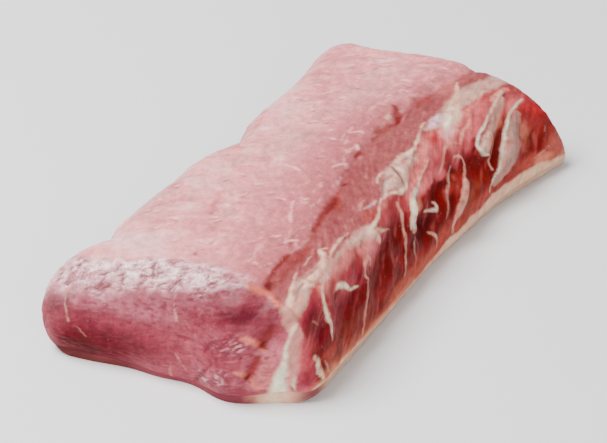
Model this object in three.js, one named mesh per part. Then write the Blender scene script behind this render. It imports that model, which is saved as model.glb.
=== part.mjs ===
// Raw boneless pork loin lying on its fat cap, with the rib side to the right.
// Millimetres, +Z up. The loin runs along +Y and both ends are cut at a slant.
//
// "along" runs from the near cut end (negative) to the far one.
// "down" is measured round the section, from the seam between the two top muscles
// towards the lower right edge, where the ribs were taken off.
import * as THREE from 'three';
import { mergeVertices } from 'three/addons/utils/BufferGeometryUtils.js';

// Overall form
const HEIGHT = 58;
const NEAR_END = -113.5;
const FAR_END = 146;
const SKEW = Math.tan(THREE.MathUtils.degToRad(16));
const CENTRE_X = -2.64;
const CENTRE_Y = 15.3;
const HALF_WIDTH = 68;

// Rounding of the cut ends: how long it is, how far the top drops, how far the sides draw in
const NEAR_ROUND = { length: 26, drop: 30, side: 6 };
const FAR_ROUND = { length: 8, drop: 6, side: 3 };
const NEAR_BLEND = 60;
const FAR_BLEND = 40;
const END_BULGE = 3;

// Places along the loin, as [along, x] or [along, z]
const LEFT_EDGE = [[-115, -77], [-95, -72], [-60, -68], [0, -68.5], [60, -69], [100, -69.5], [146, -76]];
const SEAM = [[-100, 40], [-70, 34], [-45, 30], [-15, 22], [25, 13], [55, 9], [80, 7], [110, 9], [146, 16]];
const BROW = [[-115, 62], [-50, 52], [0, 43], [60, 36], [120, 37], [146, 40]];
const BROW_HEIGHT = [[-115, 49], [-50, 49], [0, 48.5], [60, 47.5], [146, 47.5]];
const SLOPE = [[-115, 70], [-50, 63], [0, 56.5], [60, 53], [120, 55], [146, 58]];
const SLOPE_HEIGHT = [[-115, 28], [-50, 28], [0, 27], [60, 27], [146, 31]];
const RIGHT_EDGE = [[-126, 71], [-98, 69], [-43, 64], [0, 59.5], [30, 57.5], [85, 58], [113, 62], [146, 68.5]];

// Notches in the left edge, and the uneven outline of the two cuts
const LEFT_NOTCHES = [
  { along: -75, width: 10, depth: 5.5 },
  { along: -13, width: 7, depth: 1.5 },
  { along: 36, width: 18, depth: 8.5 },
];
const NEAR_CUT = [
  { x: 33, width: 21, out: 12 },
  { x: -7, width: 14, out: 3 },
  { x: -45, width: 18, out: 1.5 },
  { x: -76, width: 8, out: -3 },
];
const FAR_CUT = [
  { x: -58, width: 10, out: 3 },
  { x: -36, width: 12, out: -2 },
  { x: -5, width: 18, out: 2 },
  { x: 26, width: 14, out: -2 },
];

// Hollows that the ribs left in the side, and pads of fat and muscle that stand proud of it.
// Each is an oval, with its length leaning "lean" degrees from straight along the loin.
const RIB_FORMS = [
  { along: -97, down: 33, length: 9, width: 9, lean: 60, out: -3.0 },
  { along: -77, down: 41, length: 13, width: 9, lean: 35, out: -3.5 },
  { along: -60, down: 38, length: 9, width: 6, lean: 20, out: -2.5 },
  { along: -33, down: 45, length: 20, width: 9, lean: 25, out: -3.5 },
  { along: -3, down: 43, length: 10, width: 8, lean: 50, out: -3.0 },
  { along: 20, down: 52, length: 11, width: 7, lean: 0, out: -5.5 },
  { along: 44, down: 46, length: 12, width: 6, lean: 30, out: -3.5 },
  { along: 66, down: 44, length: 7, width: 5, lean: 20, out: -3.0 },
  { along: 80, down: 50, length: 10, width: 11, lean: 60, out: -4.0 },
  { along: 103, down: 49, length: 14, width: 4, lean: 38, out: -3.5 },
  { along: 128, down: 53, length: 9, width: 12, lean: 50, out: -2.5 },
  { along: -94, down: 21, length: 12, width: 8, lean: 10, out: 2.0 },
  { along: -88, down: 34, length: 9, width: 4, lean: 75, out: 2.5 },
  { along: -62, down: 15, length: 18, width: 6, lean: 10, out: 1.5 },
  { along: -20, down: 28, length: 12, width: 5, lean: 10, out: 2.0 },
  { along: 28, down: 23, length: 16, width: 6, lean: 5, out: 2.0 },
  { along: 15, down: 40, length: 12, width: 4, lean: 35, out: 2.5 },
  { along: 56, down: 57, length: 13, width: 5, lean: 35, out: 2.5 },
  { along: 72, down: 27, length: 10, width: 5, lean: 20, out: 1.5 },
  { along: 92, down: 45, length: 8, width: 5, lean: 20, out: 2.0 },
  { along: 105, down: 57, length: 18, width: 5, lean: 38, out: 2.5 },
  { along: 110, down: 30, length: 20, width: 6, lean: 20, out: 1.5 },
];
const RIB_SIDE_START = 6;
const RIB_SIDE_FADE = 60;
const RIB_SIDE_END = 68;

// Slow rise and fall of the top face and the left side
const SWELL = { height: 0.7, across: 19, along: 31 };

// Fat cap: its thickness at the two edges, and a slow waviness of its inner face
const FAT_LEFT = 6;
const FAT_RIGHT = [[-115, 7], [-80, 7.5], [-45, 6.5], [-10, 4], [40, 3.2], [80, 5.5], [120, 6.5], [146, 5.5]];
const FAT_WAVE = { height: 0.7, across: 15, along: 36 };
const FAT_THIN = { x: 0, width: 45, reach: 22, share: 0.68 };
const GAP = 0.3;

// Fineness of the faceted solids
const SIDE_ROWS = 33;
const NEAR_ROWS = 6;
const FAR_ROWS = 2;
const LEAN_OVER = 56;
const SHARED_FACE = 16;
const FAT_OUTER = 24;
const SAMPLES_PER_SPAN = 12;
const LEAN_END_RINGS = 5;
const FAT_END_RINGS = 0;
const END_RING_SHARE = 0.86;

function bump(value, centre, width) {
  return Math.exp(-(((value - centre) / width) ** 2));
}

// Smooth curve through [place, value] pairs, without overshoot between them
function through(pairs, place) {
  const last = pairs.length - 1;
  const at = THREE.MathUtils.clamp(place, pairs[0][0], pairs[last][0]);
  let i = 0;
  while (i < last - 1 && at > pairs[i + 1][0]) i += 1;
  const rate = (j) => (pairs[j + 1][1] - pairs[j][1]) / (pairs[j + 1][0] - pairs[j][0]);
  const slope = (j) => {
    if (j === 0) return rate(0);
    if (j === last) return rate(last - 1);
    const before = rate(j - 1);
    const after = rate(j);
    return before * after > 0 ? (2 * before * after) / (before + after) : 0;
  };
  const step = pairs[i + 1][0] - pairs[i][0];
  const t = (at - pairs[i][0]) / step;
  const rise = t * t * (3 - 2 * t);
  return (
    pairs[i][1] * (1 - rise) +
    pairs[i + 1][1] * rise +
    t * (1 - t) ** 2 * step * slope(i) -
    t * t * (1 - t) * step * slope(i + 1)
  );
}

function leftEdge(along) {
  const cut = LEFT_NOTCHES.reduce((sum, n) => sum + n.depth * bump(along, n.along, n.width), 0);
  return through(LEFT_EDGE, along) + cut;
}

// Control points of the section, from the lower left round over the top; SEAM_POINT is the seam
const SEAM_POINT = 8;

function sectionPoints(along) {
  const left = leftEdge(along);
  const seam = through(SEAM, along);
  const right = through(RIGHT_EDGE, along);
  return [
    [left + 15, 0],
    [left + 4.5, 8],
    [left, 27],
    [left + 3.5, 45],
    [left + 14, HEIGHT - 2.8],
    [left + 32, HEIGHT - 0.3],
    [(left + seam) / 2 + 12, HEIGHT],
    [seam - 7, HEIGHT - 0.8],
    [seam, HEIGHT - 3.5],
    [seam + 7, HEIGHT - 3],
    [through(BROW, along), through(BROW_HEIGHT, along)],
    [through(SLOPE, along), through(SLOPE_HEIGHT, along)],
    [right, 7],
    [right - 2, 1.2],
    [right - 7, 0],
    [(left + right) / 2 + 25, 0],
    [(left + right) / 2 - 20, 0],
  ];
}

function ribRelief(along, down) {
  const fade =
    THREE.MathUtils.smoothstep(down, RIB_SIDE_START, RIB_SIDE_START + 10) *
    (1 - THREE.MathUtils.smoothstep(down, RIB_SIDE_FADE, RIB_SIDE_END));
  if (fade === 0) return 0;
  const sum = RIB_FORMS.reduce((total, form) => {
    const lean = THREE.MathUtils.degToRad(form.lean);
    const a = along - form.along;
    const d = form.down - down;
    const lengthwise = a * Math.cos(lean) + d * Math.sin(lean);
    const crosswise = d * Math.cos(lean) - a * Math.sin(lean);
    return total + form.out * bump(lengthwise, 0, form.length) * bump(crosswise, 0, form.width);
  }, 0);
  return sum * fade;
}

function swell(along, x, z) {
  const high = THREE.MathUtils.smoothstep(z, 20, 45);
  return SWELL.height * high * Math.sin(x / SWELL.across + 1) * Math.sin(along / SWELL.along + x / 40);
}

function fatTop(along, x) {
  const share = THREE.MathUtils.smoothstep(x, -60, 60);
  const wave = FAT_WAVE.height * Math.sin(x / FAT_WAVE.across) * Math.cos(along / FAT_WAVE.along);
  const nearness = 1 - THREE.MathUtils.smoothstep(along, NEAR_END, NEAR_END + FAT_THIN.reach);
  const thin = 1 - FAT_THIN.share * nearness * bump(x, FAT_THIN.x, FAT_THIN.width);
  return (FAT_LEFT * (1 - share) + through(FAT_RIGHT, along) * share + wave) * thin;
}

// Closed outline of the whole loin at one place, as fine points [x, z] with the relief on it
function wholeOutline(along) {
  const points = sectionPoints(along).map(([x, z]) => new THREE.Vector3(x, z, 0));
  const curve = new THREE.CatmullRomCurve3(points, true, 'centripetal');
  const count = points.length * SAMPLES_PER_SPAN;
  const samples = Array.from({ length: count + 1 }, (_, i) => curve.getPoint(i / count));
  const distance = [0];
  for (let i = 1; i <= count; i += 1) {
    distance.push(distance[i - 1] + samples[i].distanceTo(samples[i - 1]));
  }
  const seamDistance = distance[SEAM_POINT * SAMPLES_PER_SPAN];
  return samples.map((sample, i) => {
    const before = samples[Math.max(i - 1, 0)];
    const after = samples[Math.min(i + 1, count)];
    const across = new THREE.Vector2(after.x - before.x, after.y - before.y).normalize();
    const out = ribRelief(along, distance[i] - seamDistance) + swell(along, sample.x, sample.y);
    const x = sample.x - across.y * out;
    const z = sample.y + across.x * out;
    return [x, Math.max(z, 0)];
  });
}

// Point where the outline crosses the fat line, lifted by "lift", between two neighbours
function crossing(along, inside, outside, lift) {
  const over = ([x, z]) => z - fatTop(along, x) - lift;
  const share = over(inside) / (over(inside) - over(outside));
  return [
    inside[0] + share * (outside[0] - inside[0]),
    inside[1] + share * (outside[1] - inside[1]),
  ];
}

// The outline in two parts: what lies over the fat line from left to right, and what lies under it
function splitOutline(along, lift) {
  const outline = wholeOutline(along);
  const over = outline.map(([x, z]) => z > fatTop(along, x) + lift);
  const first = over.indexOf(true);
  const last = over.lastIndexOf(true);
  const left = crossing(along, outline[first], outline[first - 1], lift);
  const right = crossing(along, outline[last], outline[last + 1], lift);
  return {
    above: [left, ...outline.slice(first, last + 1), right],
    below: [right, ...outline.slice(last + 1), ...outline.slice(1, first), left],
  };
}

// "count" steps of equal length along a line of points
function evenly(points, count) {
  const distance = [0];
  for (let i = 1; i < points.length; i += 1) {
    const [x, z] = points[i];
    distance.push(distance[i - 1] + Math.hypot(x - points[i - 1][0], z - points[i - 1][1]));
  }
  const total = distance[distance.length - 1];
  const result = [];
  let i = 0;
  for (let step = 0; step <= count; step += 1) {
    const target = (total * step) / count;
    while (i < points.length - 2 && distance[i + 1] < target) i += 1;
    const share = (target - distance[i]) / (distance[i + 1] - distance[i]);
    result.push([
      points[i][0] + share * (points[i + 1][0] - points[i][0]),
      points[i][1] + share * (points[i + 1][1] - points[i][1]),
    ]);
  }
  return result;
}

// The face that lean and fat share, from left to right
function sharedFace(along, from, to, lift) {
  return Array.from({ length: SHARED_FACE + 1 }, (_, i) => {
    const x = from[0] + ((to[0] - from[0]) * i) / SHARED_FACE;
    return [x, fatTop(along, x) + lift];
  });
}

// Draws a section in where the cut ends are rounded
function roundEnds(along, [x, z]) {
  const near = THREE.MathUtils.clamp(1 - (along - NEAR_END) / NEAR_ROUND.length, 0, 1);
  const far = THREE.MathUtils.clamp(1 - (FAR_END - along) / FAR_ROUND.length, 0, 1);
  const drop = NEAR_ROUND.drop * (1 - Math.sqrt(1 - near ** 2)) + FAR_ROUND.drop * (1 - Math.sqrt(1 - far ** 2));
  const side = NEAR_ROUND.side * (1 - Math.sqrt(1 - near ** 4)) + FAR_ROUND.side * (1 - Math.sqrt(1 - far ** 2));
  const floor = Math.min(fatTop(along, x), z);
  return [x * (1 - side / HALF_WIDTH), floor + (z - floor) * (1 - drop / HEIGHT)];
}

// Puts a point of a section in its place, with the slant and the uneven outline of the cuts
function place(along, [x, z]) {
  const near = THREE.MathUtils.clamp(1 - (along - NEAR_END) / NEAR_BLEND, 0, 1) ** 2;
  const far = THREE.MathUtils.clamp(1 - (FAR_END - along) / FAR_BLEND, 0, 1) ** 2;
  const nearOut = NEAR_CUT.reduce((sum, c) => sum + c.out * bump(x, c.x, c.width), 0);
  const farOut = FAR_CUT.reduce((sum, c) => sum + c.out * bump(x, c.x, c.width), 0);
  const y = along - near * nearOut + far * farOut + SKEW * x;
  return [x - CENTRE_X, y - CENTRE_Y, z];
}

function leanRing(along) {
  const { above } = splitOutline(along, GAP);
  const over = evenly(above, LEAN_OVER);
  const under = sharedFace(along, over[0], over[LEAN_OVER], GAP);
  const ring = [...over, ...under.slice(1, -1).reverse()];
  return { points: ring.map((point) => roundEnds(along, point)), first: LEAN_OVER };
}

function fatRing(along) {
  const { below } = splitOutline(along, 0);
  const outer = evenly(below, FAT_OUTER);
  const inner = sharedFace(along, outer[FAT_OUTER], outer[0], 0);
  const ring = [...outer, ...inner.slice(1, -1)];
  return { points: ring.map((point) => roundEnds(along, point)), first: FAT_OUTER };
}

function rowPlaces() {
  const near = Array.from({ length: NEAR_ROWS }, (_, i) => {
    return NEAR_END + NEAR_ROUND.length * (1 - Math.cos((i / NEAR_ROWS) * (Math.PI / 2)));
  });
  const far = Array.from({ length: FAR_ROWS }, (_, i) => {
    return FAR_END - FAR_ROUND.length * (1 - Math.cos((i / FAR_ROWS) * (Math.PI / 2)));
  });
  const from = NEAR_END + NEAR_ROUND.length;
  const to = FAR_END - FAR_ROUND.length;
  const sides = Array.from({ length: SIDE_ROWS + 1 }, (_, i) => from + ((to - from) * i) / SIDE_ROWS);
  return [...near, ...sides, ...far.reverse()];
}

// Rings of a cut end, drawn in towards the middle line of the section, with a soft bulge
function endRings(along, ring, rings, outward) {
  const xs = ring.points.map(([x]) => x);
  const zs = ring.points.map(([, z]) => z);
  const middle = (Math.max(...zs) + Math.min(...zs)) / 2;
  const reach = (Math.max(...zs) - Math.min(...zs)) / 2;
  const left = Math.min(...xs) + reach;
  const right = Math.max(...xs) - reach;
  const result = [];
  for (let k = 1; k <= rings; k += 1) {
    const share = (END_RING_SHARE * k) / rings;
    const bulge = END_BULGE * outward * (1 - (1 - share) ** 2);
    result.push(
      ring.points.map(([x, z]) => {
        const towards = THREE.MathUtils.clamp(x, left, right);
        const point = [x + (towards - x) * share, z + (middle - z) * share];
        return place(along + bulge, point);
      }),
    );
  }
  return result;
}

// Closes a ring whose two halves face each other: from point 0 to point "first", and back.
// The strip between the halves goes on along whichever half is behind in x.
function zipHalves(ring, start, first) {
  const count = ring.length;
  const run = Math.sign(ring[first][0] - ring[0][0]);
  const triangles = [];
  let a = 0;
  let b = count;
  while (b - a > 2) {
    const aLeft = a + 1 < b && a < first;
    const bLeft = b > first + 1;
    const aNext = ring[Math.min(a + 1, first)][0] * run;
    const bNext = ring[b - 1][0] * run;
    if (aLeft && (!bLeft || aNext <= bNext)) {
      triangles.push([start + a, start + a + 1, start + (b % count)]);
      a += 1;
    } else {
      triangles.push([start + a, start + b - 1, start + (b % count)]);
      b -= 1;
    }
  }
  triangles.push([start + a, start + a + 1, start + (b % count)]);
  return triangles;
}

// A closed solid through rings of equally many points, with its two ends filled
function loft(makeRing, endRingCount) {
  const places = rowPlaces();
  const rings = places.map(makeRing);
  const nearEnd = endRings(places[0], rings[0], endRingCount, -1).reverse();
  const farEnd = endRings(places[places.length - 1], rings[rings.length - 1], endRingCount, 1);
  const sides = rings.map((ring, i) => ring.points.map((point) => place(places[i], point)));
  const rows = [...nearEnd, ...sides, ...farEnd];
  const count = rows[0].length;
  const index = [];
  for (let r = 0; r < rows.length - 1; r += 1) {
    for (let i = 0; i < count; i += 1) {
      const a = r * count + i;
      const b = r * count + ((i + 1) % count);
      index.push(a, b + count, a + count, a, b, b + count);
    }
  }
  const last = rows.length - 1;
  zipHalves(rows[0], 0, rings[0].first).forEach(([a, b, c]) => index.push(a, c, b));
  zipHalves(rows[last], last * count, rings[0].first).forEach(([a, b, c]) => index.push(a, b, c));
  const geometry = new THREE.BufferGeometry();
  geometry.setAttribute('position', new THREE.Float32BufferAttribute(rows.flat(2), 3));
  geometry.setIndex(index);
  return mergeVertices(geometry, 1e-3);
}

function makeMesh(name, geometry, colour, roughness) {
  const material = new THREE.MeshStandardMaterial({ color: colour, roughness, metalness: 0 });
  const mesh = new THREE.Mesh(geometry, material);
  mesh.name = name;
  return mesh;
}

const group = new THREE.Group();
group.add(makeMesh('loin_meat', loft(leanRing, LEAN_END_RINGS), 0xc97f80, 0.35));
group.add(makeMesh('fat_cap', loft(fatRing, FAT_END_RINGS), 0xe6d9cd, 0.45));

export default group;
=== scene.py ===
import math

import bpy
import numpy as np
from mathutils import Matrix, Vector


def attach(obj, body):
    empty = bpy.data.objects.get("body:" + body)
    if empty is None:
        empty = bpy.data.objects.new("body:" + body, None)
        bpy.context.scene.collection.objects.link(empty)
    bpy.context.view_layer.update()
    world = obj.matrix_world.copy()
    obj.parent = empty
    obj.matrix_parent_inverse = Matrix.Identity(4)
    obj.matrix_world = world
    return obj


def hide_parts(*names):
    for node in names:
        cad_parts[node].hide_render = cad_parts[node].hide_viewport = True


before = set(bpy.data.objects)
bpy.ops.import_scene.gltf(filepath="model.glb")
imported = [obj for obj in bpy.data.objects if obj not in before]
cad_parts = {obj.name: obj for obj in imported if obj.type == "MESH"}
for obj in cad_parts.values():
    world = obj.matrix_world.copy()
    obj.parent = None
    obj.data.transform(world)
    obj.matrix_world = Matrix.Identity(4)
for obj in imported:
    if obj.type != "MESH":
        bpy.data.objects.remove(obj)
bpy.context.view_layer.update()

# Every form below is in millimetres and is turned into metres when a mesh is made.
# "along" runs from the near cut end to the far one, and "down" is measured round the section
# from the seam on the top face towards the lower right edge, where the ribs were taken off.
MM = 0.001

# Overall form, as in the solids
HEIGHT = 58.0
NEAR_END = -113.5
FAR_END = 146.0
SKEW = math.tan(math.radians(16.0))
CENTRE_X = -2.64
CENTRE_Y = 15.3
HALF_WIDTH = 68.0
NEAR_ROUND = {"length": 26.0, "drop": 30.0, "side": 6.0}
FAR_ROUND = {"length": 8.0, "drop": 6.0, "side": 3.0}
NEAR_BLEND = 60.0
FAR_BLEND = 40.0
END_BULGE = 3.0
# Curves down the loin: (along, place across) or (along, height)
LEFT_EDGE = [(-115, -77), (-95, -72), (-60, -68), (0, -68.5), (60, -69), (100, -69.5), (146, -76)]
SEAM = [(-100, 40), (-70, 34), (-45, 30), (-15, 22), (25, 13), (55, 9), (80, 7), (110, 9), (146, 16)]
BROW = [(-115, 62), (-50, 52), (0, 43), (60, 36), (120, 37), (146, 40)]
BROW_HEIGHT = [(-115, 49), (-50, 49), (0, 48.5), (60, 47.5), (146, 47.5)]
SLOPE = [(-115, 70), (-50, 63), (0, 56.5), (60, 53), (120, 55), (146, 58)]
SLOPE_HEIGHT = [(-115, 28), (-50, 28), (0, 27), (60, 27), (146, 31)]
RIGHT_EDGE = [(-126, 71), (-98, 69), (-43, 64), (0, 59.5), (30, 57.5), (85, 58), (113, 62), (146, 68.5)]
# Notches of the left edge (along, width, depth), and how far the cuts stand out (across, width, out)
LEFT_NOTCHES = [(-75, 10, 5.5), (-13, 7, 1.5), (36, 18, 8.5)]
NEAR_CUT = [(33, 21, 12), (-7, 14, 3), (-45, 18, 1.5), (-76, 8, -3)]
FAR_CUT = [(-58, 10, 3), (-36, 12, -2), (-5, 18, 2), (26, 14, -2)]
# Gentle waves of the lean's skin
SWELL = {"height": 0.7, "across": 19.0, "along": 31.0, "slant": 40.0, "from": 20.0, "full": 45.0}
# Thickness of the fat cap: at the left, how far over it changes, at the right, waves, thin place
FAT_LEFT = 6.0
FAT_SPREAD = 60.0
FAT_RIGHT = [(-115, 7), (-80, 7.5), (-45, 6.5), (-10, 4), (40, 3.2), (80, 5.5), (120, 6.5), (146, 5.5)]
FAT_WAVE = {"height": 0.7, "across": 15.0, "along": 36.0}
FAT_THIN = {"x": 0.0, "width": 45.0, "reach": 22.0, "share": 0.68}
# Air between the fat cap and the lean's hidden underside
GAP = 0.3

# Control points of the section as (across, height). They are taken across from the left edge, from
# halfway between it and the seam, from the seam, from the right edge and from the middle.
LEFT_SIDE = [(15, 0), (4.5, 8), (0, 27), (3.5, 45), (14, HEIGHT - 2.8), (32, HEIGHT - 0.3)]
TOP_MIDDLE = [(12, HEIGHT)]
AT_SEAM = [(-7, HEIGHT - 0.8), (0, HEIGHT - 3.5), (7, HEIGHT - 3)]
RIGHT_SIDE = [(0, 7), (-2, 1.2), (-7, 0)]
UNDERSIDE = [(25, 0), (-20, 0)]
# Which of them are the left shoulder and the seam
LEFT_SHOULDER_POINT = 4
SEAM_POINT = 8

# Hollows (out below 0) and pads (out above 0) of the rib side: along, down, length, width, lean, out
RIB_FORMS = [
    (-97, 33, 9, 9, 60, -3),
    (-77, 41, 13, 9, 35, -3.5),
    (-60, 38, 9, 6, 20, -2.5),
    (-33, 45, 20, 9, 25, -3.5),
    (-3, 43, 10, 8, 50, -3),
    (20, 52, 11, 7, 0, -5.5),
    (44, 46, 12, 6, 30, -3.5),
    (66, 44, 7, 5, 20, -3),
    (80, 50, 10, 11, 60, -4),
    (103, 49, 14, 4, 38, -3.5),
    (128, 53, 9, 12, 50, -2.5),
    (-94, 21, 12, 8, 10, 2),
    (-88, 34, 9, 4, 75, 2.5),
    (-62, 15, 18, 6, 10, 1.5),
    (-20, 28, 12, 5, 10, 2),
    (28, 23, 16, 6, 5, 2),
    (15, 40, 12, 4, 35, 2.5),
    (56, 57, 13, 5, 35, 2.5),
    (72, 27, 10, 5, 20, 1.5),
    (92, 45, 8, 5, 20, 2),
    (105, 57, 18, 5, 38, 2.5),
    (110, 30, 20, 6, 20, 1.5),
]
# Where they set in and fade out, down the rib side
RIB_SIDE_START, RIB_SIDE_FULL = 6.0, 16.0
RIB_SIDE_FADE, RIB_SIDE_END = 60.0, 68.0

# The line where the pale strip beside the seam gives way to the rib side: (along, down)
BAND_LINE = [
    (-118, 20), (-104, 12), (-85, 12), (-70, 16), (-58, 14), (-45, 17), (-35, 21), (-25, 27), (-12, 26),
    (0, 24), (15, 21), (30, 21), (50, 20), (68, 18), (78, 19), (92, 20), (110, 15), (146, 14),
]

# Colours of the lean as they look in soft light, sRGB from 0 to 255
MEAT_TONES = {
    "waxy": (224, 182, 184),
    "waxy light": (231, 205, 204),
    "waxy grey": (208, 178, 178),
    "waxy rose": (211, 156, 160),
    "waxy deep": (203, 142, 146),
    "side pink": (200, 132, 134),
    # Painted sheen of the wet shoulder band and of its glints
    "wet white": (231, 212, 214),
    "strip rose": (187, 120, 121),
    "strip deep": (170, 92, 95),
    "seam red": (170, 66, 62),
    "seam dark": (128, 26, 26),
    "rust": (166, 82, 62),
    "cut pink": (188, 110, 123),
    "cut pale": (200, 142, 153),
    "cut grey": (166, 118, 122),
    "cut rose": (176, 84, 101),
    "cut magenta": (156, 50, 72),
    "cut crimson": (142, 46, 60),
    "crimson": (142, 20, 38),
    "amber": (224, 164, 146),
    "edge brown": (150, 68, 48),
    "rose lobe": (202, 122, 128),
    "rose pale": (216, 160, 156),
    "rose red": (172, 60, 68),
    "rose mid": (184, 92, 96),
    "rose crimson": (178, 70, 88),
    "dark rose": (150, 52, 62),
    "muscle rose": (170, 62, 62),
    "tan red": (180, 94, 72),
    "tan": (202, 150, 124),
    "scarlet": (196, 74, 78),
    "orange red": (190, 88, 74),
    "blood": (158, 24, 22),
    "dark red": (134, 22, 27),
    "black red": (98, 12, 18),
    "dark purple": (108, 18, 30),
    "brown red": (132, 38, 32),
    "brick": (146, 50, 40),
    "muscle red": (152, 52, 48),
    "rose brown": (178, 84, 74),
    "knob pink": (180, 104, 94),
}

# Colours of fat and membrane; the crease tone is painted shade in the creases of the fat
FAT_TONES = {
    "fat": (207, 190, 180),
    # White fat, also laid along the upper rims of fat strips as painted highlight
    "fat white": (236, 207, 195),
    "fat cream": (210, 187, 166),
    "fat side": (200, 178, 160),
    "fat pink": (222, 172, 160),
    "fat blush": (202, 138, 126),
    "fat veil": (190, 162, 152),
    "fat mauve": (172, 150, 142),
    "fat grey": (150, 128, 126),
    "fat lilac": (214, 198, 205),
    "fat mint": (216, 219, 208),
}

# Colours of flecks, creases and veins too fine for the mesh; the glint specks are painted glints and the
# crease tone is painted shade
DETAIL_TONES = {
    "pale fleck": (236, 212, 208),
    "glint speck": (216, 166, 176),
    "wet crease shade": (176, 104, 120),
    "vein": (222, 176, 168),
    "blush": (214, 158, 150),
    "strand": (204, 122, 112),
    "fat fleck": (202, 156, 144),
}

# How much higher the cream edge of the fat creeps up the lean of the rib side: along, height
FRINGE_LIFT = [(-60, 0), (0, 0.2), (18, 1.0), (38, 5.2), (60, 4.6), (90, 4.6), (118, 3.8), (132, 1.0)]

# Tones of the fine strands strewn over the rib side
STRAND_TONES = ["fat pink", "fat blush", "fat blush", "fat veil"]
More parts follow.
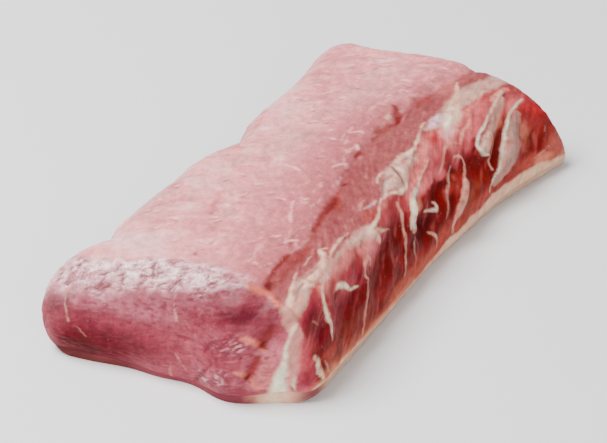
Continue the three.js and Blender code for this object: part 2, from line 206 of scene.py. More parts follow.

# Areas of colour on the top and the rib side: tone, along, down, length, width, lean, strength
# The crimson, dark red, black red and dark purple areas in the hollows of RIB_FORMS are the meat's deep red
# with painted shade of those hollows
SIDE_AREAS = [
    ("waxy light", -84, -80, 16, 26, 0, 0.7),
    ("waxy grey", -30, -86, 40, 12, 5, 0.6),
    ("waxy rose", -30, -28, 45, 14, 3, 0.4),
    ("waxy rose", -60, -52, 22, 10, 10, 0.4),
    ("waxy rose", 110, -60, 30, 16, 35, 0.45),
    ("waxy light", 75, -60, 34, 10, 30, 0.4),
    ("waxy grey", 30, -40, 26, 12, 0, 0.45),
    ("waxy light", 13, -36, 7, 4, 10, 0.5),
    ("waxy grey", 100, -28, 30, 14, 10, 0.4),
    ("waxy rose", -27, -78, 3, 4, 60, 0.8),
    ("waxy rose", -38, -53, 13, 2, 3, 0.8),
    ("waxy light", -15, -66, 20, 7, 10, 0.35),
    ("strip deep", -80, 3, 16, 4, 5, 0.4),
    ("strip deep", -20, 6, 22, 4, 5, 0.45),
    ("strip deep", 12, 4, 16, 5, 12, 0.5),
    ("strip deep", 100, 2, 14, 6, 25, 0.5),
    ("rose pale", 118, 4, 12, 5, 30, 0.4),
    ("scarlet", 100, 0, 6, 4, 20, 0.35),
    ("orange red", -14, 5, 9, 2.5, 8, 0.4),
    ("orange red", -14, 20, 8, 1.8, 8, 0.6),
    ("orange red", -10, 23, 9, 1.4, 4, 0.6),
    ("rose crimson", -98, 21, 9, 4.5, 5, 0.9),
    ("crimson", -99, 34, 8, 9, 20, 0.95),
    ("crimson", -101.5, 26, 6, 5.5, 10, 0.9),
    ("rose crimson", -92, 26, 2.5, 6, 0, 0.4),
    ("dark red", -101, 45, 5, 5, 0, 0.8),
    ("rose pale", -76, 20.5, 12, 3, 4, 0.75),
    ("rose red", -83, 26, 8, 4, 10, 0.5),
    ("dark rose", -83, 34, 8, 5.5, 0, 0.9),
    ("crimson", -94, 38, 3, 8, 0, 0.7),
    ("crimson", -71, 38, 8, 5, 8, 0.9),
    ("crimson", -75, 30, 5, 3, 20, 0.6),
    ("crimson", -62, 41, 8, 4, 8, 0.85),
    ("dark rose", -84, 43, 8, 2.5, 5, 0.7),
    ("rose pale", -57, 21.5, 14, 3.5, 4, 0.9),
    ("rose crimson", -58, 29, 7, 5.5, 0, 0.9),
    ("rose red", -48, 26, 6, 4, 0, 0.6),
    ("crimson", -50, 35, 5.5, 4.5, 0, 0.95),
    ("black red", -40, 36, 2, 1.6, 0, 0.7),
    ("rose pale", -34, 26, 9, 4.5, 4, 0.85),
    ("rose lobe", -31, 33, 7, 5, 10, 0.75),
    ("rose brown", -33, 39, 8, 3, 10, 0.6),
    ("dark red", -34, 47, 22, 9, 10, 0.95),
    ("dark red", -12, 46, 18, 10, 8, 0.95),
    ("dark purple", -10, 44, 10, 4, 20, 0.6),
    ("blood", -34, 57, 16, 5, 6, 0.7),
    ("brick", -84, 49, 18, 4.5, 2, 0.85),
    ("brick", -74, 53.5, 18, 5.5, 4, 0.85),
    ("tan red", -86, 61, 18, 3.5, 2, 0.6),
    ("tan", -84, 66, 24, 3, 0, 0.5),
    ("brick", -54, 55, 11, 5, 5, 0.8),
    ("rust", -60, 61, 12, 3, 5, 0.6),
    ("tan red", -45, 64.5, 24, 2.6, 2, 0.55),
    ("brick", -31, 62, 12, 5, 0, 0.95),
    ("tan", -48, 68, 26, 2.4, 0, 0.7),
    ("scarlet", -7, 28.5, 7, 2.6, 0, 0.8),
    ("rose red", 3, 27, 6, 3, 8, 0.8),
    ("dark red", -8, 38, 13, 7, 5, 0.95),
    ("crimson", -12, 34, 6, 3, 0, 0.7),
    ("dark red", 3, 47, 8, 6, 50, 0.8),
    # A small pinkish painted highlight
    ("rose brown", -15, 49.5, 4.5, 1.2, 12, 0.7),
    ("blood", -6, 55, 10, 4, 20, 0.6),
    ("tan red", -20, 64.5, 20, 3.2, 2, 0.85),
    ("tan", -22, 69, 24, 2.2, 0, 0.6),
    ("rose brown", 2, 63, 8, 4, 10, 0.75),
    ("rose red", 17, 32, 8, 2.4, 8, 0.85),
    ("crimson", 11, 38.5, 3, 2, 40, 0.8),
    ("tan", 22, 41, 6, 2.6, 4, 0.8),
    ("blood", 33, 42, 8, 2.4, -4, 0.9),
    ("dark red", 42, 44, 10, 3.6, -6, 0.95),
    ("rose pale", 32, 31, 14, 2.2, 6, 0.85),
    ("rose lobe", 42, 36.5, 13, 3, 5, 0.9),
    ("rose pale", 32, 36, 8, 2.4, 6, 0.8),
    ("dark purple", 26, 52.5, 8, 5, -4, 1),
    ("dark purple", 14, 56, 8, 2.6, 0, 0.95),
    ("black red", 27, 54.5, 5, 2.5, 0, 0.25),
    ("blood", 13, 62, 8, 3.8, 0, 0.95),
    ("dark red", 36, 58, 7, 4, 35, 0.85),
    ("brown red", 28, 63, 8, 4, 0, 0.8),
    ("rose brown", 33, 66, 8, 3, 20, 0.75),
    ("tan red", 12, 69, 26, 2.6, 2, 0.85),
    ("rose pale", 58, 24.5, 12, 3.4, 12, 0.85),
    ("rose lobe", 58, 30.5, 11, 3.2, 16, 0.9),
    ("rose red", 60, 33.5, 8, 2.6, 16, 0.45),
    ("scarlet", 69.5, 25.5, 5.5, 3.2, 5, 0.9),
    ("rose red", 66, 35.5, 4.5, 2.2, 10, 0.95),
    ("rose pale", 75, 33.5, 4, 2.4, 10, 0.6),
    ("brown red", 63, 46, 8, 2.6, 18, 0.95),
    ("black red", 53, 46, 4, 3.2, 20, 0.8),
    ("dark red", 50, 52, 6, 2.5, 35, 0.8),
    ("dark red", 82, 45, 6.5, 9, 70, 0.98),
    ("dark red", 78, 54, 11, 7, 10, 0.95),
    ("crimson", 85, 40, 4, 4, 0, 0.6),
    ("blood", 72, 58, 10, 4, 10, 0.7),
    ("rust", 64, 62, 14, 3.6, 10, 0.85),
    ("tan red", 58, 68.5, 16, 2.4, 4, 0.6),
    ("brick", 60, 66.5, 12, 3, 4, 0.6),
    ("rose lobe", 92, 34.5, 12, 3.8, 16, 0.95),
    ("rose red", 84, 37.5, 4, 1.6, 15, 0.5),
    ("rose lobe", 112, 27.5, 13, 3.6, 16, 0.9),
    ("rose pale", 100, 24.5, 16, 2.2, 14, 0.8),
    ("scarlet", 123, 25, 6, 2.6, 15, 0.6),
    ("tan", 112, 39.5, 10, 2.2, 32, 0.75),
    ("muscle red", 106, 47, 10, 2.2, 36, 0.85),
    ("rose lobe", 126, 32, 8, 2, 22, 0.8),
    ("muscle rose", 131, 46, 8, 12, 40, 0.95),
    ("brown red", 123, 58, 9, 5, 38, 0.7),
    ("scarlet", 138, 41, 4, 6, 60, 0.7),
    ("rose brown", 132, 55, 5, 4, 40, 0.5),
    ("brown red", 98, 69, 10, 2.6, 8, 0.4),
    ("rose brown", 116, 68, 12, 3, 10, 0.85),
    ("tan", 128, 71, 12, 2.6, 5, 0.6),
    ("scarlet", 143, 40, 4, 14, 0, 0.5),
    ("knob pink", 140, 66, 9, 8, 60, 0.95),
    ("tan", 124, 51, 6, 4, 38, 0.5),
    ("rose pale", 80, 27.5, 8, 4, 14, 0.7),
    ("waxy light", 82, 26.5, 9, 3.5, 14, 0.5),
    ("rose pale", 0, 24.5, 7, 2.5, 0, 0.5),
    ("rose red", 84, 43, 6, 2.5, 10, 0.4),
    ("muscle red", 109, 44, 7, 3, 30, 0.5),
    ("rose red", -105, 36, 3, 6, 0, 0.6),
    ("dark red", 76, 65, 8, 3, 10, 0.6),
    ("rose lobe", 71, 41, 5, 3, 10, 0.55),
    ("rose red", 84, 41, 6, 3, 10, 0.6),
    ("rose lobe", 54, 40, 5, 3, 10, 0.6),
    ("rose brown", 60, 49, 8, 3.5, 15, 0.35),
    ("rose lobe", -6, 29, 6, 3, 0, 0.6),
    ("rose lobe", -12, 33, 5, 2.5, 0, 0.45),
    ("rose pale", -31, 29, 7, 3, 0, 0.5),
    ("rose brown", -98, 51, 6, 4.5, 0, 0.7),
    ("tan", -98, 60, 7, 4, 0, 0.55),
    ("dark purple", 5, 53, 6, 4, 0, 0.7),
    ("dark red", 127, 62.5, 6, 4, 30, 0.85),
    ("dark red", 134, 57, 5, 5, 40, 0.6),
    ("rose brown", 55, 51, 5, 3, 0, 0.45),
    ("rose lobe", 84, 41, 5, 3, 0, 0.45),
    ("strip rose", 12, 20, 5, 3, 0, 0.8),
    ("rose red", -110, 62, 3, 6, 0, 0.7),
    ("rose lobe", 76, 36, 5, 3, 10, 0.5),
    ("rose pale", 129, 34, 7, 3, 30, 0.5),
    ("rose brown", 117, 59, 5, 3.5, 30, 0.7),
]

# Lines on the top and the rib side: tone, strength, height, and points (along, down, half width)
# The white fat lines along the upper rims of the strips are painted highlight as well as white fat
SIDE_LINES = [
    ("fat", 0.85, 0.8, [
        (-106, 15, 3.4), (-98, 14, 4), (-90, 13, 4), (-82, 13.5, 3.8), (-74, 14.5, 3.2), (-66, 15, 2.6)]),
    ("fat white", 0.95, 0.9, [
        (-105, 13.5, 1.3), (-101, 11.2, 1.5), (-95, 9.9, 1.2), (-88, 8.4, 0.7), (-80, 7.2, 0.4)]),
    ("fat white", 0.6, 0.4, [(-89, 13.6, 1), (-82, 14.4, 1.9), (-75, 14.6, 1.5)]),
    ("fat", 0.7, 0.4, [(-80, 18.5, 1.2), (-72, 18.5, 2.4), (-63, 15.5, 2.6)]),
    ("fat", 0.6, 0.3, [(37, 23, 1.2), (45, 23.8, 2.2), (52, 23, 1.4)]),
    ("fat white", 0.7, 0.4, [(-72, 7.5, 0.4), (-68, 7, 0.5), (-64, 7.5, 0.3)]),
    ("fat white", 0.9, 0.8, [
        (-70, 15.8, 0.7), (-65, 13.5, 1.2), (-61, 11.8, 1.4), (-57, 9, 1.2), (-55.5, 11, 0.7)]),
    ("fat white", 0.85, 0.6, [
        (-61, 15.2, 0.6), (-54, 14, 0.8), (-46, 13.8, 0.7), (-40, 14.5, 0.6), (-35, 15.4, 0.3)]),
    ("fat", 0.65, 0.5, [
        (-62, 17.5, 1.6), (-54, 17.2, 2.2), (-46, 18, 2.6), (-38, 20, 3.2), (-30, 22.5, 4), (-25, 25, 4)]),
    ("fat", 0.85, 0.5, [(-42, 20, 0.8), (-35, 20.6, 1.4), (-29, 22.2, 1.6)]),
    ("fat", 0.95, 0.9, [(-29, 24, 1.4), (-25, 27, 2.4), (-22.5, 30, 2), (-22, 34, 1)]),
    ("fat white", 0.9, 0.5, [
        (-27, 24.6, 0.8), (-22, 25, 1.2), (-15, 25.2, 1), (-8, 24.6, 0.8), (-2, 23, 0.6), (4, 22, 0.5)]),
    ("fat cream", 0.95, 0.9, [(-21, 28, 0.9), (-15, 30.5, 0.8), (-11, 33, 0.5), (-8, 35, 0.2)]),
    ("fat pink", 0.6, 0.4, [(-14, 15.5, 1), (-9, 14.5, 1), (-5, 15, 0.6)]),
    ("fat lilac", 0.6, 0.4, [(-12, 17.5, 0.5), (-6, 19, 0.9), (0, 20, 0.7)]),
    ("fat", 0.9, 0.8, [
        (5, 23, 0.9), (12, 22, 1.4), (18, 22, 4), (26, 22, 6), (33, 21.5, 5), (41, 20.5, 4), (48, 20, 2.6),
        (54, 20, 1.4)]),
    ("fat white", 0.85, 0.7, [(8, 23, 0.8), (12, 25.5, 1), (17, 28, 1.4), (23, 28.5, 1.1), (27, 27.5, 0.5)]),
    ("fat white", 0.8, 0.7, [(30, 18.5, 0.9), (32, 22, 1.2), (30.5, 26, 0.9)]),
    ("fat white", 0.7, 0.5, [(14, 16.5, 0.9), (18, 15, 1), (24, 15.5, 0.5)]),
    ("fat white", 0.7, 0.6, [(35, 17.5, 0.7), (41, 17.5, 1.2), (47, 18.5, 1), (52, 20.3, 0.8)]),
    ("fat", 0.9, 0.5, [(17, 21, 1.2), (22, 22, 1.6), (25, 24.5, 1)]),
    # Creases of the fat band: grooves whose grey tone is painted shade
    ("fat grey", 0.95, -1.2, [(23.5, 26.5, 0.6), (26.5, 23, 1), (29.5, 19.5, 0.9), (31, 17.5, 0.5)]),
    ("fat grey", 0.8, -0.8, [(17, 17.5, 0.4), (20, 19, 0.8), (23, 20.5, 0.5)]),
    ("fat grey", 0.7, -0.8, [(-98, 13.6, 0.5), (-92, 12.4, 0.8), (-86, 12.2, 0.5)]),
    ("fat grey", 0.7, -0.8, [(-81, 11.2, 0.5), (-76, 12.4, 0.8), (-71, 13.2, 0.5)]),
    ("fat grey", 0.7, -0.8, [(-60, 16.2, 0.5), (-51, 15.9, 0.7), (-43, 16.6, 0.5)]),
    ("fat grey", 0.8, -1, [(5, 21.5, 0.5), (10, 20.5, 0.9), (15, 18.5, 0.8), (19, 18, 0.4)]),
    ("fat grey", 0.7, -0.9, [(37, 21, 0.6), (41, 20, 0.8), (45, 21, 0.5)]),
    ("fat white", 0.9, 0.7, [
        (50, 20.8, 0.8), (57, 19.4, 1), (65, 17.8, 0.9), (73, 15.6, 0.7), (79, 14.2, 0.5)]),
    ("fat", 0.8, 0.4, [
        (74, 18, 1.2), (80, 19.5, 3.2), (87, 20, 4.4), (94, 18.5, 4), (102, 16.5, 4.2), (111, 16, 5),
        (121, 15.5, 5.6), (131, 16, 5.2), (140, 16, 4.8), (147, 14, 4.5)]),
    ("fat lilac", 0.85, 0.2, [(78, 18.5, 1.5), (84, 17, 2.5), (90, 17, 2)]),
    ("fat white", 0.85, 0.7, [
        (79, 26, 1.2), (86, 24, 2.6), (94, 22, 3.8), (101, 18, 2.8), (107, 14.5, 1.5), (114, 11.2, 1.2),
        (120, 7, 0.9), (125, 3.4, 0.4)]),
    ("fat mint", 0.6, 0.1, [(83, 24.5, 0.8), (88, 22.8, 1.4), (92, 21.5, 0.8)]),
    ("fat pink", 0.8, 0.4, [(120, 26.5, 0.7), (128, 24.5, 1.2), (136, 24, 1.6)]),
    ("fat white", 0.95, 1.1, [
        (-80, 20.5, 0.3), (-84, 20.8, 0.7), (-88.5, 22.5, 1), (-90.8, 26.5, 1.3), (-91.2, 31.5, 1.1),
        (-91, 37, 0.7), (-91.8, 42, 0.5), (-93, 45, 0.3)]),
    ("fat pink", 0.5, 0.3, [(-101, 25, 0.3), (-99, 28.5, 0.5), (-97, 32, 0.3)]),
    ("fat white", 0.95, 1.1, [
        (-75, 27.2, 0.6), (-71.5, 27.2, 1.5), (-68, 28.8, 1.8), (-65.5, 31.5, 1.4), (-62.5, 34.8, 1),
        (-59, 37, 0.8), (-56, 37.8, 0.4)]),
    ("fat pink", 0.85, 1.1, [
        (-46, 39, 0.6), (-47.5, 36, 1), (-46, 33, 1.3), (-42, 31, 1.3), (-38.5, 31, 1), (-37, 33, 0.7),
        (-39.5, 35, 0.4)]),
    ("fat blush", 0.65, 0.7, [
        (-47, 39, 0.7), (-51, 44, 0.9), (-55, 48, 1), (-59, 53, 1.3), (-62, 58, 1.3), (-63.5, 63, 0.9)]),
    ("fat cream", 0.85, 1.2, [
        (-108, 40, 0.7), (-107.3, 47, 1.5), (-107.4, 53, 1.6), (-106, 58, 1.1), (-103.5, 62.5, 0.9),
        (-99.5, 66.5, 0.8), (-92, 71, 0.7)]),
    ("fat white", 0.8, 0.3, [(-108.6, 46, 0.5), (-108.8, 53, 0.6), (-107.5, 58, 0.5)]),
    ("fat cream", 0.45, 0.3, [(-103, 50, 0.5), (-101.5, 56, 0.8), (-99.5, 61, 0.6)]),
    ("fat pink", 0.9, 1, [
        (9, 31, 1.2), (8.2, 34, 1.4), (6.8, 37, 0.8), (4.5, 41, 0.6), (2.5, 45, 0.7), (0.5, 48.5, 0.6),
        (-4, 52, 0.6), (-9, 56.5, 0.5), (-13, 60.5, 0.4)]),
    ("fat", 0.9, 1.1, [(19, 39, 1.6), (14, 41.5, 2.6), (11, 45, 3), (14, 48.5, 2.4), (17.5, 50.5, 1.6)]),
    ("fat white", 0.9, 0.9, [
        (55, 29, 0.3), (47, 30.5, 0.4), (39, 32, 0.6), (32, 33.6, 1), (26, 34.6, 1.6), (20, 35.9, 2),
        (14, 39, 1.5), (9, 43, 1), (7, 46, 0.7)]),
    ("fat pink", 0.8, 0.8, [(8, 48, 0.6), (12, 51, 0.8), (17, 52.2, 0.7), (20, 50, 0.6)]),
    ("fat", 0.9, 1, [
        (27, 47, 0.5), (30, 48, 0.8), (33, 50, 1.2), (35.5, 52, 1.3), (38.5, 50, 0.9), (37, 47.5, 0.5)]),
    ("fat pink", 0.6, 0.7, [(9, 52.5, 0.5), (5, 54, 0.6), (2.5, 57, 0.5), (1, 61, 0.3)]),
    ("fat pink", 0.85, 0.8, [(22.5, 58.5, 0.5), (24.5, 61, 0.9), (25.5, 64.5, 0.7), (25, 69, 0.4)]),
    ("fat veil", 0.9, 1.1, [
        (41, 70, 0.9), (43.5, 66, 1.5), (48, 63, 2.2), (54, 60, 2.9), (60, 56.5, 3.2), (66, 53.5, 2)]),
    ("fat pink", 0.9, 0.6, [
        (43, 65.5, 0.4), (46, 62, 0.6), (50, 59, 0.7), (56, 55.2, 0.8), (63, 52, 0.8), (70, 50, 0.8),
        (74.5, 47.5, 0.7), (76, 44, 0.7), (74, 41, 0.7), (70, 39.3, 0.5)]),
    ("fat pink", 0.7, 0.8, [
        (38, 60, 0.2), (43, 55.8, 0.4), (48, 51.6, 0.5), (52, 48.3, 0.6), (56, 45.2, 0.8), (60, 42.3, 0.9),
        (65, 41, 0.5)]),
    # A dark groove between the strips: painted shade in the crease
    ("black red", 0.7, -0.5, [(43, 58.8, 0.5), (48, 55, 0.9), (53, 51.6, 1), (58, 48.6, 0.8)]),
    ("fat pink", 0.85, 0.7, [
        (54, 39.5, 0.4), (58, 37.2, 0.7), (64, 34.3, 0.7), (70, 32, 0.8), (75, 30.8, 0.9), (79, 28, 0.7)]),
    ("fat pink", 0.5, 0.4, [(74, 31.5, 0.5), (77, 34, 0.7), (80, 37, 0.4)]),
    ("fat pink", 0.8, 0.7, [
        (80.5, 36.2, 0.5), (84, 33.8, 0.9), (89.5, 31.8, 0.9), (96, 30, 0.6), (102.5, 26.8, 0.3)]),
    ("fat veil", 0.9, 1.2, [
        (90, 46, 2.6), (94, 45.5, 4.2), (99, 43.5, 4), (105, 40, 3), (112, 36, 2.2), (120, 32, 1.6),
        (128, 28.5, 1.2)]),
    ("fat", 0.6, 0.2, [(91, 44, 1), (95, 42, 1.5), (100, 40, 1)]),
    ("rose brown", 0.5, -0.3, [(95, 49, 1), (100, 46.5, 1.8), (106, 43, 1)]),
    ("fat white", 0.95, 0.7, [
        (92, 50.8, 0.5), (89, 49, 0.8), (87.6, 45, 0.7), (88.5, 41.6, 0.8), (94, 38.8, 0.7),
        (100, 36.2, 0.7), (106, 34.2, 0.6), (112.5, 31.8, 0.7), (119, 29.5, 0.7), (125, 26.8, 0.8),
        (132, 25, 0.9)]),
    ("fat pink", 0.85, 0.8, [
        (89.4, 59.2, 0.9), (89.3, 56.5, 0.5), (92, 53.5, 0.6), (96, 50.5, 0.4), (101, 46.5, 0.4)]),
    # A dark groove beside the strip: painted shade in the crease
    ("dark red", 0.5, -0.6, [(94, 51.5, 0.4), (101, 49, 0.6), (106, 45.5, 0.6), (108.5, 43, 0.4)]),
    ("fat mauve", 0.8, 1.2, [
        (86, 67, 1.4), (92, 65.3, 2.8), (99, 62, 4.2), (106, 57.5, 4.6), (112, 52.5, 4.2), (117, 47.5, 3.2),
        (121, 44, 2.9), (127, 40.5, 2)]),
    ("fat white", 0.9, 0.6, [
        (80, 69, 0.3), (86, 64.3, 0.6), (92.5, 61.5, 0.6), (100, 55.3, 0.7), (107.5, 49, 0.7),
        (117.5, 41.6, 0.8), (125, 37.2, 0.8), (131, 35.2, 0.8), (137, 34, 0.5)]),
    ("fat pink", 0.5, 0.4, [(120, 68, 0.3), (128, 66.5, 0.5), (134, 65, 0.4)]),
    ("fat pink", 0.4, 0.3, [(136, 57, 0.5), (140, 50, 0.4)]),
    ("seam red", 0.5, -0.2, [
        (-91, 0, 2.6), (-82, -0.5, 3.2), (-72, -0.5, 3.4), (-64, 0.5, 3), (-57, 1.5, 1.6)]),
    ("seam red", 0.9, -0.5, [
        (-91, -3.4, 1.1), (-84, -3.7, 1.2), (-76, -3.5, 1), (-70, -3.5, 1.4), (-66, -3, 0.8)]),
    ("seam dark", 0.8, -0.7, [(-95, 0.5, 0.9), (-92.5, -1.2, 1.6), (-89.5, -2, 1)]),
    ("seam red", 0.45, -0.2, [(-70, 3, 1.5), (-63, 3.5, 2), (-57, 4, 1.2)]),
    ("seam red", 0.4, -0.2, [(-56, 1, 1), (-48, 1.2, 1.2), (-40, 0, 1.4)]),
    ("seam red", 0.8, -0.5, [
        (-42, -0.6, 0.9), (-34, -0.6, 1.6), (-26, 0, 2), (-19, 1, 2.6), (-12, 1.2, 2.6), (-7, 1, 1.4),
        (-2, 1, 0.6)]),
    ("seam dark", 0.5, -0.4, [(-24, 0.6, 0.5), (-18, 1.3, 1.1), (-12, 1.4, 1.1), (-8, 1, 0.5)]),
    ("strip deep", 0.5, -0.3, [(0, 2, 1), (12, -1, 1.2), (24, -2, 1), (36, -2, 1.2), (50, -1, 1)]),
    ("seam dark", 0.75, -0.6, [(4, 1.5, 0.9), (6, 2.3, 0.8)]),
    ("seam red", 0.8, -0.5, [(32, -2.2, 1.2), (34.5, -1.5, 1.6), (36.5, -1, 0.8)]),
    ("rust", 0.65, -0.1, [(52, -1.5, 1.5), (58, -1, 2.8), (64, -0.5, 3), (69, 0.5, 2)]),
    ("seam red", 0.85, -0.6, [(70, 3.5, 0.9), (75, 2, 1.7), (79, 0, 2.2), (83, -3, 2), (86, -6, 1.4)]),
    ("seam dark", 0.6, -0.4, [(73, 2.8, 0.5), (76, 1.6, 1), (79, 0.4, 0.7)]),
    ("fat white", 1, 1.2, [(73.5, -3.6, 1.4), (76, -3, 1.6)]),
    ("waxy light", 0.9, 0.5, [(15, -8, 0.4), (19, -6, 0.7), (22, -4.5, 0.3)]),
    ("waxy light", 0.9, 0.5, [(52, -7, 0.4), (53, -10, 0.6), (51, -13, 0.3)]),
    ("waxy light", 0.9, 0.5, [(38, -4, 0.8), (40, -5, 0.8)]),
    ("seam red", 0.6, -0.5, [(-61, -9, 0.5), (-58, -6.5, 0.7), (-54, -6, 0.5)]),
    ("seam red", 0.5, -0.5, [(-58, -10, 0.4), (-55, -8, 0.5), (-51, -7.5, 0.4)]),
    ("waxy light", 0.8, 0.6, [(-60, -8, 0.5), (-57, -8, 0.6), (-54, -4.5, 0.4)]),
    ("waxy light", 0.9, 0.5, [(-41, -13, 0.5), (-37, -15, 0.7), (-33, -16, 0.4)]),
    ("waxy light", 0.9, 0.4, [(-31, -15.5, 0.3), (-26, -17, 0.5), (-22, -17, 0.3)]),
    ("waxy light", 0.9, 0.4, [(5, -22, 0.3), (8, -27, 0.6), (9, -31, 0.3)]),
    ("waxy light", 1, 0.5, [(-40, -49, 0.6), (-37, -47, 0.8)]),
    ("seam red", 0.5, -0.5, [(11, -47, 0.8), (13, -44, 0.5)]),
    ("strip deep", 0.9, -0.6, [(-84, -44, 0.7), (-83, -45, 0.6)]),
    ("strip deep", 0.8, -0.5, [(-48, -52, 0.5), (-46, -52, 0.5)]),
    ("strip deep", 0.5, -0.4, [(117, -38, 0.8), (120, -38, 0.6)]),
]

# Edges of the wet band over the near shoulder: (x, distance over the shoulder)
WET_TOP = [(-75, 18), (-62, 15), (-37, 12), (-19, 5), (-1, 4), (19, 4), (32, 5), (42, 6)]
WET_FOOT = [(-75, 42), (-62, 36), (-39, 33), (-21, 28), (-4, 23), (8, 18), (24, 11), (34, 6), (42, 4)]
# Where the cut gives way to the seam and the side strip at its upper right
CUT_EDGE = [(-75, -1), (22, -1), (30, 4), (36, 7), (46, 13), (56, 21), (62, 31), (66, 38), (72, 46)]

# Areas of colour on the near shoulder and cut: tone, x, distance over the shoulder, then as above
NEAR_AREAS = [
    ("cut pale", -34, 34, 34, 8, 0, 0.85),
    ("cut pale", -2, 27, 20, 7, 6, 0.75),
    ("cut magenta", 24, 23, 12, 3.5, -8, 0.45),
    ("cut grey", -63, 41, 9, 9, 0, 0.75),
    ("cut rose", -40, 49, 32, 7, 0, 0.75),
    ("cut rose", -14, 53, 14, 9, 0, 0.8),
    ("cut crimson", -32, 57, 27, 8, 0, 0.9),
    ("cut magenta", -46, 47, 13, 6, -4, 0.4),
    ("crimson", -48, 60, 16, 9, -3, 1),
    ("crimson", -34, 62, 12, 6, 0, 0.8),
    ("black red", -50, 62, 10, 4.5, 0, 0.6),
    ("crimson", -54, 69, 10, 5, 0, 0.9),
    ("cut crimson", -27, 66, 12, 4, 0, 0.5),
    ("cut rose", -36, 69, 9, 3.5, 0, 0.6),
    ("edge brown", -58, 70, 12, 4, -20, 0.7),
    ("crimson", -43, 67, 16, 6, 0, 0.75),
    ("black red", -45, 65, 12, 4, 0, 0.5),
    ("cut rose", 17, 30, 15, 4, 4, 0.75),
    ("cut magenta", 35, 23, 9, 5, 0, 1),
    ("cut magenta", 29, 27, 9, 3, 0, 0.5),
    ("cut rose", 27, 41, 9, 4, 30, 0.8),
    ("cut magenta", 28, 47, 8, 4, 20, 0.5),
    ("cut rose", 10, 37, 12, 4, 8, 0.45),
    ("cut rose", 46, 29, 5, 7, 0, 0.7),
    ("cut rose", 24, 64, 14, 5, 0, 0.6),
    ("cut magenta", 38, 64, 8, 3, 0, 0.55),
    ("cut pale", 51, 42, 5, 9, 0, 0.85),
    ("cut pale", 47, 56, 6, 9, 0, 0.8),
    ("rose red", 66, 12, 5, 10, 0, 0.8),
    ("rose red", 65, 42, 3.5, 15, 0, 0.9),
    ("rose lobe", 63, 43, 2.6, 12, 0, 0.5),
    ("crimson", 67, 58, 4, 7, 0, 0.7),
    ("rose pale", 50, 54, 4, 12, 0, 0.6),
    ("rose pale", 60.5, 28, 4, 6, 0, 0.65),
]

